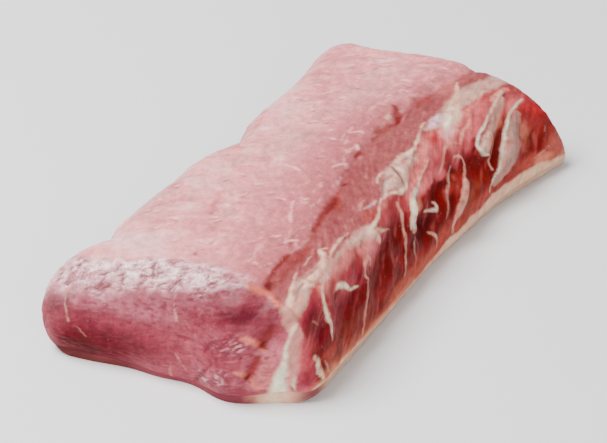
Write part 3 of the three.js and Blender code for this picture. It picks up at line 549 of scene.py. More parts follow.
# Lines on the near shoulder and cut: tone, strength, height, and points (x, distance, half width)
NEAR_LINES = [
    # Rose grooves across the wet band: painted shade in its creases
    ("cut rose", 0.7, -1.2, [(-55.2, 17, 0.5), (-56, 24, 0.8), (-57.4, 31, 0.5)]),
    ("cut rose", 0.6, -1, [(-40, 32, 0.4), (-38, 28, 0.6), (-35, 23, 0.5)]),
    ("cut rose", 0.5, -0.8, [(-35.5, 14, 0.4), (-33, 19, 0.6), (-30, 27, 0.4)]),
    ("cut rose", 0.6, -1, [(-20.5, 8, 0.4), (-17, 14, 0.7), (-14.5, 20, 0.4)]),
    ("cut rose", 0.7, -1.2, [(-3.5, 7, 0.5), (-3.7, 14, 0.7), (-5, 20, 0.5)]),
    ("cut rose", 0.6, -1, [(15, 11, 0.4), (11.5, 16, 0.6), (7.5, 21.5, 0.4)]),
    ("cut rose", 0.5, -0.9, [(24, 11, 0.4), (21, 15, 0.6), (17, 20, 0.4)]),
    ("fat white", 0.6, 0.6, [(-56.8, 33, 0.4), (-56.6, 42, 0.4), (-54.4, 49, 0.8)]),
    ("fat white", 0.6, 0.6, [(-2.8, 21, 0.4), (-1.4, 28, 0.4), (1.7, 35.5, 0.8)]),
    ("fat pink", 0.6, 0.5, [(-49.5, 51, 0.3), (-46, 54, 0.4), (-44, 55.5, 0.3)]),
    ("fat pink", 0.6, 0.5, [(4.5, 34, 0.3), (7, 36, 0.4), (9.5, 38.5, 0.3)]),
    ("fat pink", 0.6, 0.5, [(2.5, 53, 0.3), (5, 57, 0.4), (8, 62, 0.4)]),
    ("fat pink", 0.5, 0.6, [(0.3, 60, 0.4), (-0.5, 65, 0.5), (-1.2, 71, 0.9)]),
    # Magenta fold grooves: partly the cut's own magenta, partly painted shade in the folds
    ("cut magenta", 0.7, -1.2, [(27.5, 36, 0.5), (23, 41, 0.9), (19, 47, 0.5)]),
    ("cut magenta", 0.6, -1, [(34.5, 34, 0.4), (31, 38, 0.7), (29, 42, 0.4)]),
    ("cut magenta", 0.7, -1.2, [(25, 51, 0.5), (19, 60, 1), (11, 71, 0.6)]),
    ("cut magenta", 0.6, -1, [(33, 53, 0.4), (29, 59, 0.7), (24, 66, 0.5)]),
    ("amber", 0.75, 0.9, [
        (29, 8, 1.2), (35, 9.8, 1.8), (41, 12.5, 1.6), (46, 16, 1.1), (52, 20.5, 0.8), (56, 23.5, 0.5)]),
    ("amber", 0.7, 0.9, [(38, 34, 0.8), (42, 35, 1.3), (46, 37.5, 1.2), (48.5, 41, 0.8)]),
    ("seam red", 0.8, -1, [(49, 28, 1.2), (48.5, 31, 2.2), (47.5, 35, 2.5), (47, 38, 1.6)]),
    # The dark spot at the bottom of the slit is painted shade
    ("seam dark", 0.9, -0.9, [(48, 36, 0.5), (47, 38, 0.9), (48.5, 40, 0.5)]),
    ("amber", 0.7, 0.9, [(37.5, 52, 0.7), (41, 53, 1.2), (44.5, 57, 1.2), (47, 63, 0.8)]),
    ("seam red", 0.8, -1, [(46.5, 45, 1), (45.5, 48, 1.9), (44, 52, 2.1), (43, 55, 1.4)]),
    # The dark spot at the bottom of the slit is painted shade
    ("seam dark", 0.9, -0.9, [(43.5, 54, 0.5), (42.7, 56, 0.9), (44, 58, 0.5)]),
    ("fat", 0.75, 0.6, [(49, 17, 1.2), (52, 20, 2.6), (54.5, 24, 3), (57, 29, 2)]),
    ("fat veil", 0.6, 0.2, [(60, 29, 1.5), (60, 38, 2.8), (59.5, 48, 3.4), (58, 58, 4), (57, 70, 4.4)]),
    ("fat white", 0.9, 1, [
        (58.5, 25, 0.4), (57.6, 30, 0.8), (57, 38, 0.9), (56.5, 48, 1.5), (55.5, 57, 2.8), (54.5, 63, 3.6),
        (53.5, 70, 4)]),
    ("fat white", 0.8, 0.8, [(62, 56, 0.4), (61, 61, 0.7), (62, 67, 0.7), (64, 70, 0.5)]),
    # The black slit beside the strip's end: painted shade in the slit
    ("black red", 0.9, -1, [(60, 62, 0.3), (61.5, 66, 0.6), (63, 70, 0.4)]),
]

# Lines on the far cut: tone, strength, height, and points (x, z, half width)
FAR_LINES = [
    ("seam red", 0.8, -0.9, [(14, 54, 0.8), (19, 46, 0.9), (27, 38, 0.7), (35, 30, 0.5)]),
    ("fat", 0.8, 0.8, [(33, 52, 1.2), (38, 42, 1.6), (42, 32, 1.4), (46, 20, 1.8), (50, 8, 2.2)]),
]
# Where the far cut's eye muscle gives way to the side muscle: (z, x)
FAR_PARTING = [(0, 52), (30, 38), (58, 26)]

# Clusters of small wet wrinkles on the cut, with painted glints on their crests and painted shade in their
# creases: x, distance over the shoulder, reach
GLINTS = [(22, 9, 4), (37, 38, 5), (28, 40, 4), (31, 58, 5), (20, 62, 4), (8, 18, 5)]

# Fine marks strewn over the rib side, the top and the near cut
STRANDS = 120
TOP_CREASES = 100
CUT_STROKES = 45

# How high a strip of height 1 stands, and how far the lean dips below the top of the fat cap
STRIP_HEIGHT = 0.65
MEET = 0.2

# Fineness of the visible skin
SAMPLES_PER_SPAN = 20
NEAR_ROWS = 50
SIDE_ROWS = 282
FAR_ROWS = 14
LEFT_SIDE_COLUMNS = 24
TOP_COLUMNS = 100
RIGHT_COLUMNS = 100
OVER_COLUMNS = LEFT_SIDE_COLUMNS + TOP_COLUMNS + RIGHT_COLUMNS
SHARED_COLUMNS = 20
CUT_COLUMNS = 96
NEAR_RINGS = 24
FAR_RINGS = 12
END_RING_SHARE = 0.92
FAT_UNDER_COLUMNS = 44
FAT_SIDE_COLUMNS = 16
ARC_STEPS = 60
# Step of "down" from column to column under the lean, and how far from the seam fibres are counted
UNDER_STEP = 4.0
FLOW_REACH = 130
SHARP_ANGLE = math.radians(60)

random = np.random.default_rng(7)

# The view's tone curve: how it mixes the channels, its stops, its terms and the shades read off it
VIEW_MIX = [[0.842, 0.078, 0.079], [0.042, 0.878, 0.079], [0.042, 0.078, 0.879]]
VIEW_STOPS = (-12.474, 4.026)
VIEW_CURVE = (-0.00232, 0.1191, 0.4298, -6.868, 31.96, -40.14, 15.5)
SHADES = 400

# Light that the skin mirrors whatever its colour, and the darkest and palest surface colour
SHEEN = 0.006
DARKEST, PALEST = 0.002, 0.92
# Strength of the scene's light: by the distance down the rib side, down the near cut, and elsewhere
SIDE_LIGHT = [(-120, 1.8), (-90, 2.0), (0, 1.95), (12, 1.8), (22, 1.62), (32, 1.4), (42, 1.1), (70, 1.1)]
NEAR_LIGHT = [(0, 2.0), (10, 2.3), (24, 2.4), (38, 1.8), (70, 1.65)]
PLAIN_LIGHT = 1.6

# Depths of the materials' relief and of the light that scatters under the skin, in metres
BUMP_DEPTH = 0.0006
SCATTER_DEPTH = 0.003


def bump(value, centre, width):
    return np.exp(-(((value - centre) / width) ** 2))


def smooth(low, high, value):
    t = np.clip((value - low) / (high - low), 0.0, 1.0)
    return t * t * (3.0 - 2.0 * t)


def through(pairs, place):
    """Smooth curve through (place, value) pairs, without overshoot between them."""
    at, value = np.array(pairs, float).T
    step = np.diff(at)
    rate = np.diff(value) / step
    slope = np.zeros(len(at))
    before, after = rate[:-1], rate[1:]
    same_way = before * after > 0
    slope[1:-1][same_way] = (2 * before * after / np.where(same_way, before + after, 1.0))[same_way]
    slope[0], slope[-1] = rate[0], rate[-1]
    place = np.clip(place, at[0], at[-1])
    i = np.clip(np.searchsorted(at, place) - 1, 0, len(step) - 1)
    t = (place - at[i]) / step[i]
    rise = t * t * (3 - 2 * t)
    bend = t * (1 - t) ** 2 * slope[i] - t * t * (1 - t) * slope[i + 1]
    return value[i] * (1 - rise) + value[i + 1] * rise + bend * step[i]


def noise(x, y, seed):
    """Gradient noise over a plane, about -1 to 1, with cells of one unit."""
    xi, yi = np.floor(x).astype(np.int64), np.floor(y).astype(np.int64)
    xf, yf = x - xi, y - yi

    def corner(i, j):
        h = ((xi + i) * 73856093) ^ ((yi + j) * 19349663) ^ (seed * 83492791)
        h = ((h ^ (h >> 13)) * 1274126177) & 0x7FFFFFFF
        angle = (h ^ (h >> 16)) * (2 * math.pi / 65536.0)
        return np.cos(angle) * (xf - i) + np.sin(angle) * (yf - j)

    u, v = (w * w * w * (w * (w * 6 - 15) + 10) for w in (xf, yf))
    low = corner(0, 0) * (1 - u) + corner(1, 0) * u
    high = corner(0, 1) * (1 - u) + corner(1, 1) * u
    return 1.5 * (low * (1 - v) + high * v)


def rough_noise(x, y, seed, octaves=3):
    return sum(noise(x * 2 ** k, y * 2 ** k, seed + 17 * k) / 2 ** k for k in range(octaves))


def fibre_noise(u, v, lean, length, width, seed):
    """Noise drawn out along a direction that leans from the u axis towards smaller v."""
    lean = math.radians(lean)
    lengthwise = u * math.cos(lean) - v * math.sin(lean)
    crosswise = -v * math.cos(lean) - u * math.sin(lean)
    return rough_noise(lengthwise / length, crosswise / width, seed, 2)


def wander(u, v, seed, reach, cell):
    """Shifts places a little, so that edges drawn on them come out uneven."""
    return (
        u + reach * rough_noise(u / cell, v / cell, seed),
        v + reach * rough_noise(u / cell, v / cell, seed + 5),
    )


def left_edge(along):
    notches = sum(depth * bump(along, at, width) for at, width, depth in LEFT_NOTCHES)
    return through(LEFT_EDGE, along) + notches


def section_points(along):
    """Control points of the section, from the lower left round over the top."""
    left, seam, right = left_edge(along), through(SEAM, along), through(RIGHT_EDGE, along)

    def run(start, points):
        return [(start + across, 0.0 * along + height) for across, height in points]

    over = run(left, LEFT_SIDE) + run((left + seam) / 2, TOP_MIDDLE) + run(seam, AT_SEAM)
    over.append((through(BROW, along), through(BROW_HEIGHT, along)))
    over.append((through(SLOPE, along), through(SLOPE_HEIGHT, along)))
    return np.array(over + run(right, RIGHT_SIDE) + run((left + right) / 2, UNDERSIDE))


def whole_outlines(along):
    """Fine closed outlines, one a row: x, z and the distance from the seam round the section."""
    points = section_points(along)
    count = len(points)
    t = np.linspace(0, 1, SAMPLES_PER_SPAN, endpoint=False)[:, None, None]
    spans = []
    for i in range(count):
        p0, p1, p2, p3 = (points[(i + j) % count] for j in (-1, 0, 1, 2))
        d0, d1, d2 = (np.sqrt(np.linalg.norm(b - a, axis=0)) for a, b in ((p0, p1), (p1, p2), (p2, p3)))
        m1 = d1 * ((p1 - p0) / d0 - (p2 - p0) / (d0 + d1)) + (p2 - p1)
        m2 = d1 * ((p3 - p2) / d2 - (p3 - p1) / (d1 + d2)) + (p2 - p1)
        rise = t * t * (3 - 2 * t)
        spans.append(p1 * (1 - rise) + p2 * rise + t * (1 - t) ** 2 * m1 - t * t * (1 - t) * m2)
    line = np.concatenate(spans)
    line = np.concatenate([line, line[:1]])
    x, z = line[:, 0].T, np.maximum(line[:, 1].T, 0.0)
    steps = np.hypot(np.diff(x, axis=1), np.diff(z, axis=1))
    distance = np.concatenate([0 * x[:, :1], np.cumsum(steps, axis=1)], axis=1)
    down = distance - distance[:, SEAM_POINT * SAMPLES_PER_SPAN][:, None]
    return x, z, down


def fat_top(along, x):
    share = smooth(-FAT_SPREAD, FAT_SPREAD, x)
    wave = FAT_WAVE["height"] * np.sin(x / FAT_WAVE["across"]) * np.cos(along / FAT_WAVE["along"])
    nearness = 1 - smooth(NEAR_END, NEAR_END + FAT_THIN["reach"], along)
    thin = 1 - FAT_THIN["share"] * nearness * bump(x, FAT_THIN["x"], FAT_THIN["width"])
    return (FAT_LEFT * (1 - share) + through(FAT_RIGHT, along) * share + wave) * thin


def split_places(along, x, z, down, lift):
    """Where a row's outline crosses the fat line: the distances from the seam, left and right."""
    over = z - fat_top(along, x) - lift
    inside = np.flatnonzero(over > 0)
    places = []
    for i, j in ((inside[0], inside[0] - 1), (inside[-1], inside[-1] + 1)):
        share = over[i] / (over[i] - over[j])
        places.append(down[i] + share * (down[j] - down[i]))
    return places


def row_places():
    """Places of the rows along the loin, closer together where the cut ends are rounded."""
    turn = np.linspace(0, math.pi / 2, NEAR_ROWS, endpoint=False)
    near = NEAR_END + NEAR_ROUND["length"] * (1 - np.cos(turn))
    turn = np.linspace(0, math.pi / 2, FAR_ROWS, endpoint=False)
    far = FAR_END - FAR_ROUND["length"] * (1 - np.cos(turn))
    sides = np.linspace(NEAR_END + NEAR_ROUND["length"], FAR_END - FAR_ROUND["length"], SIDE_ROWS + 1)
    return np.concatenate([near, sides, far[::-1]])


def round_ends(along, x, z):
    """Draws a section in where the cut ends are rounded."""
    near = np.clip(1 - (along - NEAR_END) / NEAR_ROUND["length"], 0, 1)
    far = np.clip(1 - (FAR_END - along) / FAR_ROUND["length"], 0, 1)
    near_in, near_side, far_in = (1 - np.sqrt(1 - w) for w in (near ** 2, near ** 4, far ** 2))
    drop = NEAR_ROUND["drop"] * near_in + FAR_ROUND["drop"] * far_in
    side = NEAR_ROUND["side"] * near_side + FAR_ROUND["side"] * far_in
    floor = np.minimum(fat_top(along, x), z)
    return x * (1 - side / HALF_WIDTH), floor + (z - floor) * (1 - drop / HEIGHT)


def place(along, x, z):
    """Puts a point of a section in its place, with the slant and the uneven outline of the cuts."""
    near = np.clip(1 - (along - NEAR_END) / NEAR_BLEND, 0, 1) ** 2
    far = np.clip(1 - (FAR_END - along) / FAR_BLEND, 0, 1) ** 2
    near_out = sum(out * bump(x, at, width) for at, width, out in NEAR_CUT)
    far_out = sum(out * bump(x, at, width) for at, width, out in FAR_CUT)
    y = along - near * near_out + far * far_out + SKEW * x
    return np.stack([x - CENTRE_X, y - CENTRE_Y, z], axis=-1)


def oval_reach(u, v, at_u, at_v, length, width, lean):
    """Distance from an oval's middle, as a share of its size; "lean" turns it towards smaller v."""
    lean = math.radians(lean)
    a, b = u - at_u, at_v - v
    lengthwise = a * math.cos(lean) + b * math.sin(lean)
    crosswise = b * math.cos(lean) - a * math.sin(lean)
    return np.hypot(lengthwise / length, crosswise / width)


def rib_relief(along, down):
    fade = smooth(RIB_SIDE_START, RIB_SIDE_FULL, down) * (1 - smooth(RIB_SIDE_FADE, RIB_SIDE_END, down))
    return fade * sum(out * np.exp(-oval_reach(along, down, *form) ** 2) for *form, out in RIB_FORMS)


def swell(along, x, z):
    high = SWELL["height"] * smooth(SWELL["from"], SWELL["full"], z)
    return high * np.sin(x / SWELL["across"] + 1) * np.sin(along / SWELL["along"] + x / SWELL["slant"])


def lean_rows():
    """Places on the skin, one row a line: along, down, x, z and the outward direction in the section."""
    along = row_places()
    x, z, down = whole_outlines(along)
    dx, dz = np.gradient(x, axis=1), np.gradient(z, axis=1)
    size = np.hypot(dx, dz) + 1e-9
    out_x, out_z = -dz / size, dx / size
    rows = []
    for i, at in enumerate(along):
        left, right = split_places(at, x[i], z[i], down[i], -MEET)
        shoulder = down[i, LEFT_SHOULDER_POINT * SAMPLES_PER_SPAN]
        places = np.concatenate([
            np.linspace(left, shoulder, LEFT_SIDE_COLUMNS, endpoint=False),
            np.linspace(shoulder, 0, TOP_COLUMNS, endpoint=False),
            np.linspace(0, right, RIGHT_COLUMNS + 1),
        ])
        over = [np.interp(places, down[i], line[i]) for line in (x, z, out_x, out_z)]
        under_x = np.linspace(over[0][-1], over[0][0], SHARED_COLUMNS + 1)[1:-1]
        flat = 0 * under_x
        under = [under_x, fat_top(at, under_x) + GAP, flat, flat]
        lines = [np.concatenate(pair) for pair in zip(over, under)]
        full = np.concatenate([places, places[-1] + np.arange(1, SHARED_COLUMNS) * UNDER_STEP])
        rows.append([at + 0 * full, full] + lines)
    return np.array(rows).transpose(1, 0, 2)


def fat_rows():
    """Places on the fat cap, one row a line: along, x and z."""
    along = row_places()
    x, z, down = whole_outlines(along)
    rows = []
    for i, at in enumerate(along):
        left, right = split_places(at, x[i], z[i], down[i], 0.0)
        right_foot, left_foot = down[i, -1 - 3 * SAMPLES_PER_SPAN], down[i, 0]
        legs = ((right, right_foot, FAT_SIDE_COLUMNS), (right_foot, down[i, -1], FAT_UNDER_COLUMNS))
        legs += ((left_foot, left, FAT_SIDE_COLUMNS + 1),)
        places = np.concatenate([np.linspace(a, b, n, endpoint=n > FAT_SIDE_COLUMNS) for a, b, n in legs])
        places = np.delete(places, FAT_SIDE_COLUMNS + FAT_UNDER_COLUMNS)
        over_x, over_z = (np.interp(places, down[i], line[i]) for line in (x, z))
        under_x = np.linspace(over_x[-1], over_x[0], SHARED_COLUMNS + 1)[1:-1]
        rows.append([
            at + np.zeros(len(places) + len(under_x)),
            np.concatenate([over_x, under_x]),
            np.concatenate([over_z, fat_top(at, under_x)]),
        ])
    return np.array(rows).transpose(1, 0, 2)


def grid_faces(rows, columns, start=0):
    index = start + np.arange(rows * columns).reshape(rows, columns)
    a, b = index[:-1], index[1:]
    quads = np.stack([a, np.roll(a, -1, axis=1), np.roll(b, -1, axis=1), b], axis=-1)
    return quads.reshape(-1, 4).tolist()


def join_rows(a_start, a_columns, b_start, b_columns, first):
    """Faces between two rows that share their columns up to "first" but not those that lead back."""
    faces = [(a_start + j, a_start + j + 1, b_start + j + 1, b_start + j) for j in range(first)]
    a = [*range(a_start + first, a_start + a_columns), a_start]
    b = [*range(b_start + first, b_start + b_columns), b_start]
    i = j = 0
    while i < len(a) - 1 or j < len(b) - 1:
        if j == len(b) - 1 or (i + 1) * (len(b) - 1) <= (j + 1) * (len(a) - 1):
            faces.append((a[i], a[i + 1], b[j]))
            i += 1
        else:
            faces.append((a[i], b[j + 1], b[j]))
            j += 1
    return faces


def zip_halves(xs, start, first):
    """Closes a ring whose two halves face each other: from point 0 to point "first", and back."""
    count = len(xs)
    run = 1 if xs[first] > xs[0] else -1
    triangles = []
    a, b = 0, count
    while b - a > 2:
        a_left, b_left = a + 1 < b and a < first, b > first + 1
        if a_left and (not b_left or xs[min(a + 1, first)] * run <= xs[b - 1] * run):
            triangles.append((start + a, start + a + 1, start + b % count))
            a += 1
        else:
            triangles.append((start + a, start + b - 1, start + b % count))
            b -= 1
    triangles.append((start + a, start + a + 1, start + b % count))
    return triangles


def end_rings(x, z, rings):
    """Rings of a cut end, drawn in towards the middle line of the section: x, z and the share drawn in."""
    middle, reach = (z.max() + z.min()) / 2, (z.max() - z.min()) / 2
    towards = np.clip(x, x.min() + reach, x.max() - reach)
    share = END_RING_SHARE * np.arange(1, rings + 1)[:, None] / rings
    return x + (towards - x) * share, z + (middle - z) * share, share + 0 * x


def finer_under(line, first):
    """A row's values with more columns from "first" back to the start."""
    under = np.append(line[first:], line[0])
    steps = np.linspace(0, len(under) - 1, CUT_COLUMNS, endpoint=False)
    return np.concatenate([line[:first], np.interp(steps, np.arange(len(under)), under)])


def smooth_line(points):
    """A finer line through points, by the Catmull-Rom rule."""
    points = np.array(points, float)
    ends = np.concatenate([2 * points[:1] - points[1:2], points, 2 * points[-1:] - points[-2:-1]])
    t = np.linspace(0, 1, 5, endpoint=False)[:, None]
    spans = []
    for p0, p1, p2, p3 in zip(ends[:-3], ends[1:-2], ends[2:-1], ends[3:]):
        bend = (2 * p0 - 5 * p1 + 4 * p2 - p3) * t ** 2 + (3 * p1 - p0 - 3 * p2 + p3) * t ** 3
        spans.append(p1 + 0.5 * ((p2 - p0) * t + bend))
    return np.concatenate(spans + [points[-1:]])


class Skin:
    """Colours, fat and relief gathered over the points of a piece."""

    # How far a meat tone covers fat, and how fast a fat tone takes over
    MEAT_COVER = 0.8
    FAT_GAIN = 1.5
    # A line's thinnest half width, how far round it places are looked at, and the reach of its halo
    THINNEST = 0.2
    LINE_REACH = 4.0
    HALO = 3.0

    def __init__(self, shape, tone):
        self.meat = np.zeros(shape + (3,)) + seen_light(MEAT_TONES[tone])
        self.fat_tone = np.zeros(shape + (3,)) + seen_light(FAT_TONES["fat"])
        self.fat = np.zeros(shape)
        self.wisp = np.zeros(shape)
        self.height = np.zeros(shape)

    def lay(self, tone, amount):
        """Lays a tone over the skin by an amount from 0 to 1; a meat tone also covers fat."""
        amount = np.asarray(amount)[..., None]
        if tone in MEAT_TONES:
            self.meat += (seen_light(MEAT_TONES[tone]) - self.meat) * amount
            self.fat *= 1 - self.MEAT_COVER * amount[..., 0]
        else:
            share = np.minimum(amount * self.FAT_GAIN, 1)
            self.fat_tone += (seen_light(FAT_TONES[tone]) - self.fat_tone) * share
            self.fat = np.maximum(self.fat, amount[..., 0])

    def areas(self, table, u, v, where=1.0):
        for tone, *oval, strength in table:
            self.lay(tone, strength * np.exp(-oval_reach(u, v, *oval) ** 3) * where)

    def lines(self, table, u, v, where=1.0, rise=STRIP_HEIGHT):
        for tone, strength, height, points in table:
            self.line(tone, strength, rise * height, points, u, v, where)

    def line(self, tone, strength, height, points, u, v, where=1.0):
        """A strip of one tone along points (u, v, half width), standing "height" proud of the skin."""
        line = smooth_line(points)
        reach = line[:, 2].max() + self.LINE_REACH
        low, high = line.min(axis=0) - reach, line.max(axis=0) + reach
        near = (u > low[0]) & (u < high[0]) & (v > low[1]) & (v < high[1])
        if not near.any():
            return
        spots = np.stack([u[near], v[near]], axis=-1)
        edge, width = np.full(len(spots), np.inf), np.ones(len(spots))
        for a, b in zip(line[:-1], line[1:]):
            step = b[:2] - a[:2]
            t = np.clip((spots - a[:2]) @ step / (step @ step + 1e-9), 0, 1)
            width_here = np.maximum(a[2] + t * (b[2] - a[2]), self.THINNEST)
            away = np.hypot(*(spots - a[:2] - t[:, None] * step).T) - width_here
            closer = away < edge
            edge[closer], width[closer] = away[closer], width_here[closer]
        amount, halo, rise = (np.zeros(u.shape) for _ in range(3))
        soft = 0.85 + 0.3 * width
        amount[near] = strength * (1 - smooth(-soft, soft, edge))
        halo[near] = strength * (1 - smooth(0, self.HALO, edge))
        rise[near] = 1 - smooth(-width - 0.6, 1.7, edge)
        if tone in FAT_TONES:
            self.wisp = np.maximum(self.wisp, halo * where)
            amount[near] *= 0.95 - 0.35 * smooth(0.0, 0.8, rough_noise(*spots.T / 4.5, 19, 2))
        self.lay(tone, amount * where)
        self.height += height * rise * where


def seen_light(colour):
    """Light that the usual view curve turns into the given sRGB colour."""
    steps = np.linspace(0, 1, SHADES)
    shown = np.polynomial.polynomial.polyval(steps, VIEW_CURVE)
    mixed = np.interp(np.array(VIEW_MIX) @ (np.array(colour) / 255.0), shown, steps)
    return np.linalg.inv(VIEW_MIX) @ 2.0 ** (mixed * (VIEW_STOPS[1] - VIEW_STOPS[0]) + VIEW_STOPS[0])


def bare(seen, light):
    """Surface colour that sends back the light "seen" where the scene's light has strength "light"."""
    return np.clip((seen - SHEEN) / light, DARKEST, PALEST)


def add_piece(name, points, faces, attributes=None, height=None):
    mesh = bpy.data.meshes.new(name)
    mesh.from_pydata((np.asarray(points) * MM).tolist(), [], faces)
    mesh.validate()
    mesh.polygons.foreach_set("use_smooth", [True] * len(mesh.polygons))
    mesh.update()
    if height is not None:
        outward = np.empty(3 * len(mesh.vertices), np.float32)
        mesh.vertices.foreach_get("normal", outward)
        raised = points + outward.reshape(-1, 3) * height[:, None]
        raised[:, 2] = np.maximum(raised[:, 2], 0.0)
        mesh.vertices.foreach_set("co", (raised * MM).astype(np.float32).ravel())
    for key, values in (attributes or {}).items():
        kind = "FLOAT" if values.ndim == 1 else "FLOAT_VECTOR"
        layer = mesh.attributes.new(key, kind, "POINT")
        layer.data.foreach_set("value" if values.ndim == 1 else "vector", values.astype(np.float32).ravel())
    mesh.update()
    mesh.set_sharp_from_angle(angle=SHARP_ANGLE)
    piece = bpy.data.objects.new(name, mesh)
    bpy.context.collection.objects.link(piece)
    return piece


# The lean: "a" is along, "d" is down, and "s" is the distance over the near shoulder
def fibre_turn(d):
    """How steeply the fibres lean: 22 degrees at the seam and 45 low on the rib side."""
    return np.radians(22 + 23 * smooth(8, 55, d))


def flow(a, d):
    """Number of the fibre through a place."""
    depth = np.arange(-FLOW_REACH, FLOW_REACH + 1)
    across = np.cumsum(1 / np.tan(fibre_turn(depth)))
    return a + np.interp(d, depth, across - across[FLOW_REACH])


def shoulder_distance(along):
    """Distance over the near shoulder from where it starts to round off, as on a quarter of an oval."""
    turn = np.arcsin(np.clip(1 - (along - NEAR_END) / NEAR_ROUND["length"], 0, 1))
    arc = np.linspace(0, math.pi / 2, ARC_STEPS)
    steps = np.hypot(NEAR_ROUND["length"] * np.cos(arc), NEAR_ROUND["drop"] * np.sin(arc))
    length = np.concatenate([[0], np.cumsum((steps[1:] + steps[:-1]) / 2 * arc[1])])
    before = np.minimum(NEAR_END + NEAR_ROUND["length"] - along, 0)
    return np.interp(turn, arc, length) + before


def paint_top(skin, a, d, z):
    """The broad colours: waxy top, rose strip beside the seam, dark rib side, pink left side."""
    skin.lay("waxy grey", 0.35 * smooth(0.0, 0.9, rough_noise(a / 26, d / 16, 3)))
    skin.lay("waxy light", 0.4 * smooth(0.1, 1.0, rough_noise(a / 18, d / 12, 9)))
    skin.lay("waxy rose", 0.45 * smooth(0.1, 1.0, rough_noise(a / 15, d / 9, 4)))
    skin.lay("waxy light", 0.35 * smooth(0.15, 0.9, fibre_noise(a, d, 25, 16, 2.2, 5)))
    skin.lay("waxy deep", 0.5 * smooth(0.1, 0.8, fibre_noise(a, d, -69, 20, 9, 6)))
    skin.lay("waxy light", 0.6 * smooth(0.1, 0.8, fibre_noise(a, d, -69, 17, 8, 7)))
    skin.lay("waxy grey", 0.6 * smooth(0.1, 0.8, rough_noise(a / 12, d / 10, 8, 2)))
    skin.lay("waxy rose", 0.95 * smooth(-46, -14, d) * (1 - 0.7 * smooth(60, 110, a)))
    skin.lay("waxy deep", 0.75 * smooth(-26, -6, d) * (1 - 0.5 * smooth(60, 110, a)))
    skin.lay("waxy light", 0.35 * smooth(-30, -12, d) * smooth(0.2, 0.9, rough_noise(a / 9, d / 4, 13)))
    band = through(BAND_LINE, a)
    streaks = fibre_noise(a, d, 24, 12, 1.8, 11)
    strip = smooth(-3, 2, d)
    skin.lay("strip rose", strip)
    skin.lay("strip deep", strip * 0.6 * smooth(0.0, 0.8, streaks))
    skin.lay("rose pale", strip * 0.45 * smooth(0.2, 0.9, -streaks))
    rib = smooth(-1.5, 1.5, d - band)
    skin.lay("rose mid", rib)
    bands = smooth(0.1, 0.8, rough_noise(flow(a, d) / 5, d / 11, 15))
    skin.lay("rose pale", rib * 0.45 * bands * smooth(40, 30, d))
    skin.lay("dark red", rib * smooth(33, 42, d))
    skin.lay("brown red", rib * 0.6 * smooth(50, 58, d))
    skin.lay("rose brown", rib * 0.8 * smooth(60, 68, d))
    left = smooth(-50, -75, d) * (1 - smooth(36, 53, z))
    skin.lay("side pink", left)
    skin.lay("waxy light", left * 0.4 * smooth(0.1, 0.9, fibre_noise(a, d, 4, 34, 11, 31)))
    skin.lay("cut pink", left * 0.5 * smooth(0.0, 0.9, fibre_noise(a, d, 8, 22, 12, 37)))


def paint_fibres(skin, a, d):
    """Fine slanted fibres of the rib side, darker and lighter, redder and browner in turn."""
    rib = smooth(0, 3, d - through(BAND_LINE, a)) * (1 - skin.fat) * smooth(142, 132, a)
    dark, light, warm = (rough_noise(flow(a, d) / 5, d / 13, seed, 2) for seed in (51, 57, 61))
    skin.meat *= (1 - rib * 0.22 * smooth(0.05, 0.8, dark))[:, None]
    skin.meat *= 1 + (rib * 0.15 * warm.clip(-1, 1))[:, None] * np.array([0.3, -1.0, -1.0])
    veil = rib * 0.13 * smooth(5, 30, a) * smooth(60, 48, d)
    skin.lay("rose pale", veil * smooth(0.02, 0.1, skin.meat[:, 1]))
    skin.lay("rose brown", rib * 0.22 * smooth(0.15, 0.8, light))
    skin.lay("rose pale", rib * 0.12 * smooth(0.3, 0.9, light))


def stroke(at_a, at_d, turn, reach, width):
    """Points of a short slanting stroke that is widest in its middle."""
    step_a, step_d = reach * math.cos(turn), -reach * math.sin(turn)
    start, end = (at_a - step_a, at_d - step_d, Skin.THINNEST), (at_a + step_a, at_d + step_d, Skin.THINNEST)
    return [start, (at_a, at_d + 0.3, width), end]


def dress_side(skin, a, d, z):
    """The top, the rib side and the left side: broad colours, areas, fibres, strips and fine marks."""
    paint_top(skin, a, d, z)
    skin.areas(SIDE_AREAS, *wander(a, d, 21, 1.6, 9))
    paint_fibres(skin, a, d)
    close_a, close_d = wander(*comb(a, d), 33, 0.5, 6.5)
    skin.lines(SIDE_LINES, close_a, close_d)
    for _ in range(STRANDS):
        at_a, at_d = random.uniform(-108, 138), random.uniform(14, 60)
        ends = stroke(at_a, at_d, fibre_turn(at_d), random.uniform(2, 7), 0.35)
        strength = random.uniform(0.1, 0.4) * (0.4 if at_d > 34 else 1)
        skin.line(random.choice(STRAND_TONES), strength, 0.3, ends, close_a, close_d)
    for _ in range(TOP_CREASES):
        at_a, at_d = random.uniform(-85, 142), random.uniform(-95, -4)
        ends = stroke(at_a, at_d, math.radians(random.uniform(-95, -25)), random.uniform(0.6, 2.6), 0.4)
        skin.line("strip rose", random.uniform(0.4, 1.0), -0.6, ends, close_a, close_d)
        ends = [(along + 1.2, down - 0.5, width) for along, down, width in ends]
        skin.line("waxy light", random.uniform(0.3, 1.0), 0.4, ends, close_a, close_d)


